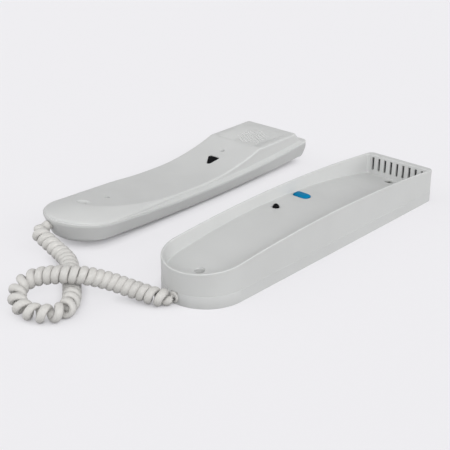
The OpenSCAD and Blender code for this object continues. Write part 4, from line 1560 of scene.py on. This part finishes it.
@dataclass
class Studio:
    """Pale floor, soft light and the camera at the photograph's angle.

    Attributes:
        spot: Place of the camera, mm.
        ahead: Way that it looks.
        focal: Focal length in pixels of the frame.
        frame: Width of that frame in pixels.
        sensor: Width of the camera's sensor, mm.
        clip: Nearest and farthest that the camera sees, m.
        reach: Distance from the object to the floor's edges, mm.
        floor: Colour of the floor to the eye.
        bounce: Colour of the floor to the light that it sends back onto the object.
        glow: Share of the floor's brightness that is painted light, a glow that washes out the
            object's broad shadow away from contact.
        contact: Distance within which the object's own shadow stays, mm.
        rough: Roughness of the floor.
        gloss: Strength of the floor's reflections.
        sky: Brightness of the even light from all round.
        horizon: Heights on a unit sphere between which the floor's colour gives way to the sky.
        lamps: The soft lights.
    """

    spot: Point = (-425.8, -330.4, 255.2)
    ahead: Point = (0.66850, 0.61682, -0.41557)
    focal: float = 979.9146
    frame: float = 450.0
    sensor: float = 36.0
    clip: Flat = (0.01, 120.0)
    reach: float = 40000.0
    floor: Colour = (0.852, 0.845, 0.869)
    bounce: Colour = (0.30, 0.30, 0.30)
    glow: float = 0.78
    contact: float = 6.0
    rough: float = 0.9
    gloss: float = 0.1
    sky: float = 0.3
    horizon: Flat = (0.22, 0.12)
    lamps: tuple[Lamp, ...] = (
        Lamp("front_box", 225, 35, 1.60), Lamp("right_box", 271, 35, 0.88),
        Lamp("low_box", 312, 14, 0.68, 26), Lamp("left_box", 130, 30, 1.28, 70))

    def build(self) -> None:
        """Set the stage."""
        scene = bpy.context.scene
        scene.view_settings.view_transform = "Standard"
        self.camera(scene)
        self.ground()
        self.light(scene)

    def camera(self, scene: bpy.types.Scene) -> None:
        """Camera of the photograph.

        Args:
            scene: The scene that it is for.
        """
        data = bpy.data.cameras.new("camera")
        data.sensor_fit, data.sensor_width = "HORIZONTAL", self.sensor
        data.lens = self.focal / self.frame * data.sensor_width
        data.clip_start, data.clip_end = self.clip
        made = bpy.data.objects.new("camera", data)
        scene.collection.objects.link(made)
        made.location = Vector(self.spot) * MM
        made.rotation_euler = Vector(self.ahead).to_track_quat("-Z", "Y").to_euler()
        scene.camera = made

    @staticmethod
    def seen(tree: bpy.types.NodeTree) -> Socket:
        """Tell the rays that show the stage to the eye, also mirrored or through glass.

        Args:
            tree: Node tree of the floor or of the world.

        Returns:
            An output that is 1 for those rays and 0 for the rest.
        """
        path = tree.nodes.new("ShaderNodeLightPath")
        found = path.outputs["Is Camera Ray"]
        for name in ("Is Glossy Ray", "Is Transmission Ray"):
            either = tree.nodes.new("ShaderNodeMath")
            either.operation = "MAXIMUM"
            tree.links.new(found, either.inputs[0])
            tree.links.new(path.outputs[name], either.inputs[1])
            found = either.outputs["Value"]
        return found

    def ground(self) -> None:
        """Large floor, a hair below the object, that glows for the eye as painted light over the
        object's broad shadow; only near contact does the real shadow stay.
        """
        skin = Skin()
        ends = (-self.reach, 0.0, self.reach)
        skin.lattice([[(x, y, -HAIR) for x in ends] for y in ends])
        made = skin.piece("floor")
        bench = Bench("floor_paper")
        seen = self.seen(bench.tree)
        # Painted light: the floor glows for the eye where the ambient occlusion is open, which
        # washes out the object's broad shadow; near contact this fades and the real shadow shows
        clear = bench.node("ShaderNodeAmbientOcclusion")
        clear.inputs["Distance"].default_value = self.contact * MM
        share = bench.node("ShaderNodeMath", operation="MULTIPLY")
        bench.join(seen, share.inputs[0])
        bench.join(clear.outputs["AO"], share.inputs[1])
        lit = bench.node("ShaderNodeMath", operation="MULTIPLY_ADD")
        bench.join(share.outputs["Value"], lit.inputs[0])
        lit.inputs[1].default_value, lit.inputs[2].default_value = -self.glow, 1.0
        paper = bench.node("ShaderNodeVectorMath", operation="SCALE")
        bench.join(bench.ramp(seen, self.bounce, self.floor), paper.inputs[0])
        bench.join(lit.outputs["Value"], paper.inputs["Scale"])
        bench.join(paper.outputs["Vector"], bench.shader.inputs["Base Color"])
        painted_glow_strength = bench.node("ShaderNodeMath", operation="MULTIPLY")
        bench.join(share.outputs["Value"], painted_glow_strength.inputs[0])
        painted_glow_strength.inputs[1].default_value = self.glow
        bench.shader.inputs["Emission Color"].default_value = (*self.floor, 1)
        bench.join(painted_glow_strength.outputs["Value"], bench.shader.inputs["Emission Strength"])
        bench.shader.inputs["Roughness"].default_value = self.rough
        bench.shader.inputs["Specular IOR Level"].default_value = self.gloss
        made.data.materials.append(bench.material)

    def light(self, scene: bpy.types.Scene) -> None:
        """Even light from all round and the soft lights.

        Args:
            scene: The scene that they are for.
        """
        world = bpy.data.worlds.new("studio")
        world.use_nodes = True
        tree = world.node_tree
        back = next(n for n in tree.nodes if n.type == "BACKGROUND")
        shade = tree.nodes.new("ShaderNodeValToRGB")
        low, high = shade.color_ramp.elements
        low.color, high.color = (self.sky, self.sky, self.sky, 1), (*self.floor, 1)
        way = tree.nodes.new("ShaderNodeTexCoord")
        parts = tree.nodes.new("ShaderNodeSeparateXYZ")
        tree.links.new(way.outputs["Generated"], parts.inputs["Vector"])
        band = tree.nodes.new("ShaderNodeMapRange")
        for name, value in zip(("From Min", "From Max"), self.horizon):
            band.inputs[name].default_value = value
        tree.links.new(parts.outputs["Z"], band.inputs["Value"])
        pale = tree.nodes.new("ShaderNodeMath")
        pale.operation = "MULTIPLY"
        tree.links.new(self.seen(tree), pale.inputs[0])
        tree.links.new(band.outputs["Result"], pale.inputs[1])
        tree.links.new(pale.outputs["Value"], shade.inputs["Fac"])
        tree.links.new(shade.outputs["Color"], back.inputs["Color"])
        back.inputs["Strength"].default_value = 1.0
        scene.world = world
        for lamp in self.lamps:
            lamp.place()


def dress_frame(nodes: dict[str, bpy.types.Object]) -> None:
    """Give the CAD nodes that stay in view or inside their finishes.

    Args:
        nodes: The frame's node objects by name.
    """
    for name, finish in KEPT.items():
        node = nodes[name]
        node.data.materials.clear()
        node.data.materials.append(finish.material())
        if name in ROUNDED:
            weld = node.modifiers.new("weld", "WELD")
            weld.merge_threshold = WELD * MM
            edge = node.modifiers.new("eased_edges", "BEVEL")
            edge.width, edge.segments = ROUNDED[name] * MM, EDGE_STEPS
            edge.limit_method, edge.angle_limit = "ANGLE", math.radians(EDGE_ANGLE)
            edge.harden_normals = True
        LOG.info("%s takes %s", name, finish.name)


def main() -> None:
    """Build the pieces in order."""
    logging.basicConfig(level=logging.INFO, format="%(name)s: %(message)s")
    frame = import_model()
    Studio().build()
    handset = Handset()
    CurlyCord().build(handset)
    Cradle().build()
    handset.build()
    dress_frame(frame["nodes"])


if __name__ == "__main__":
    main()
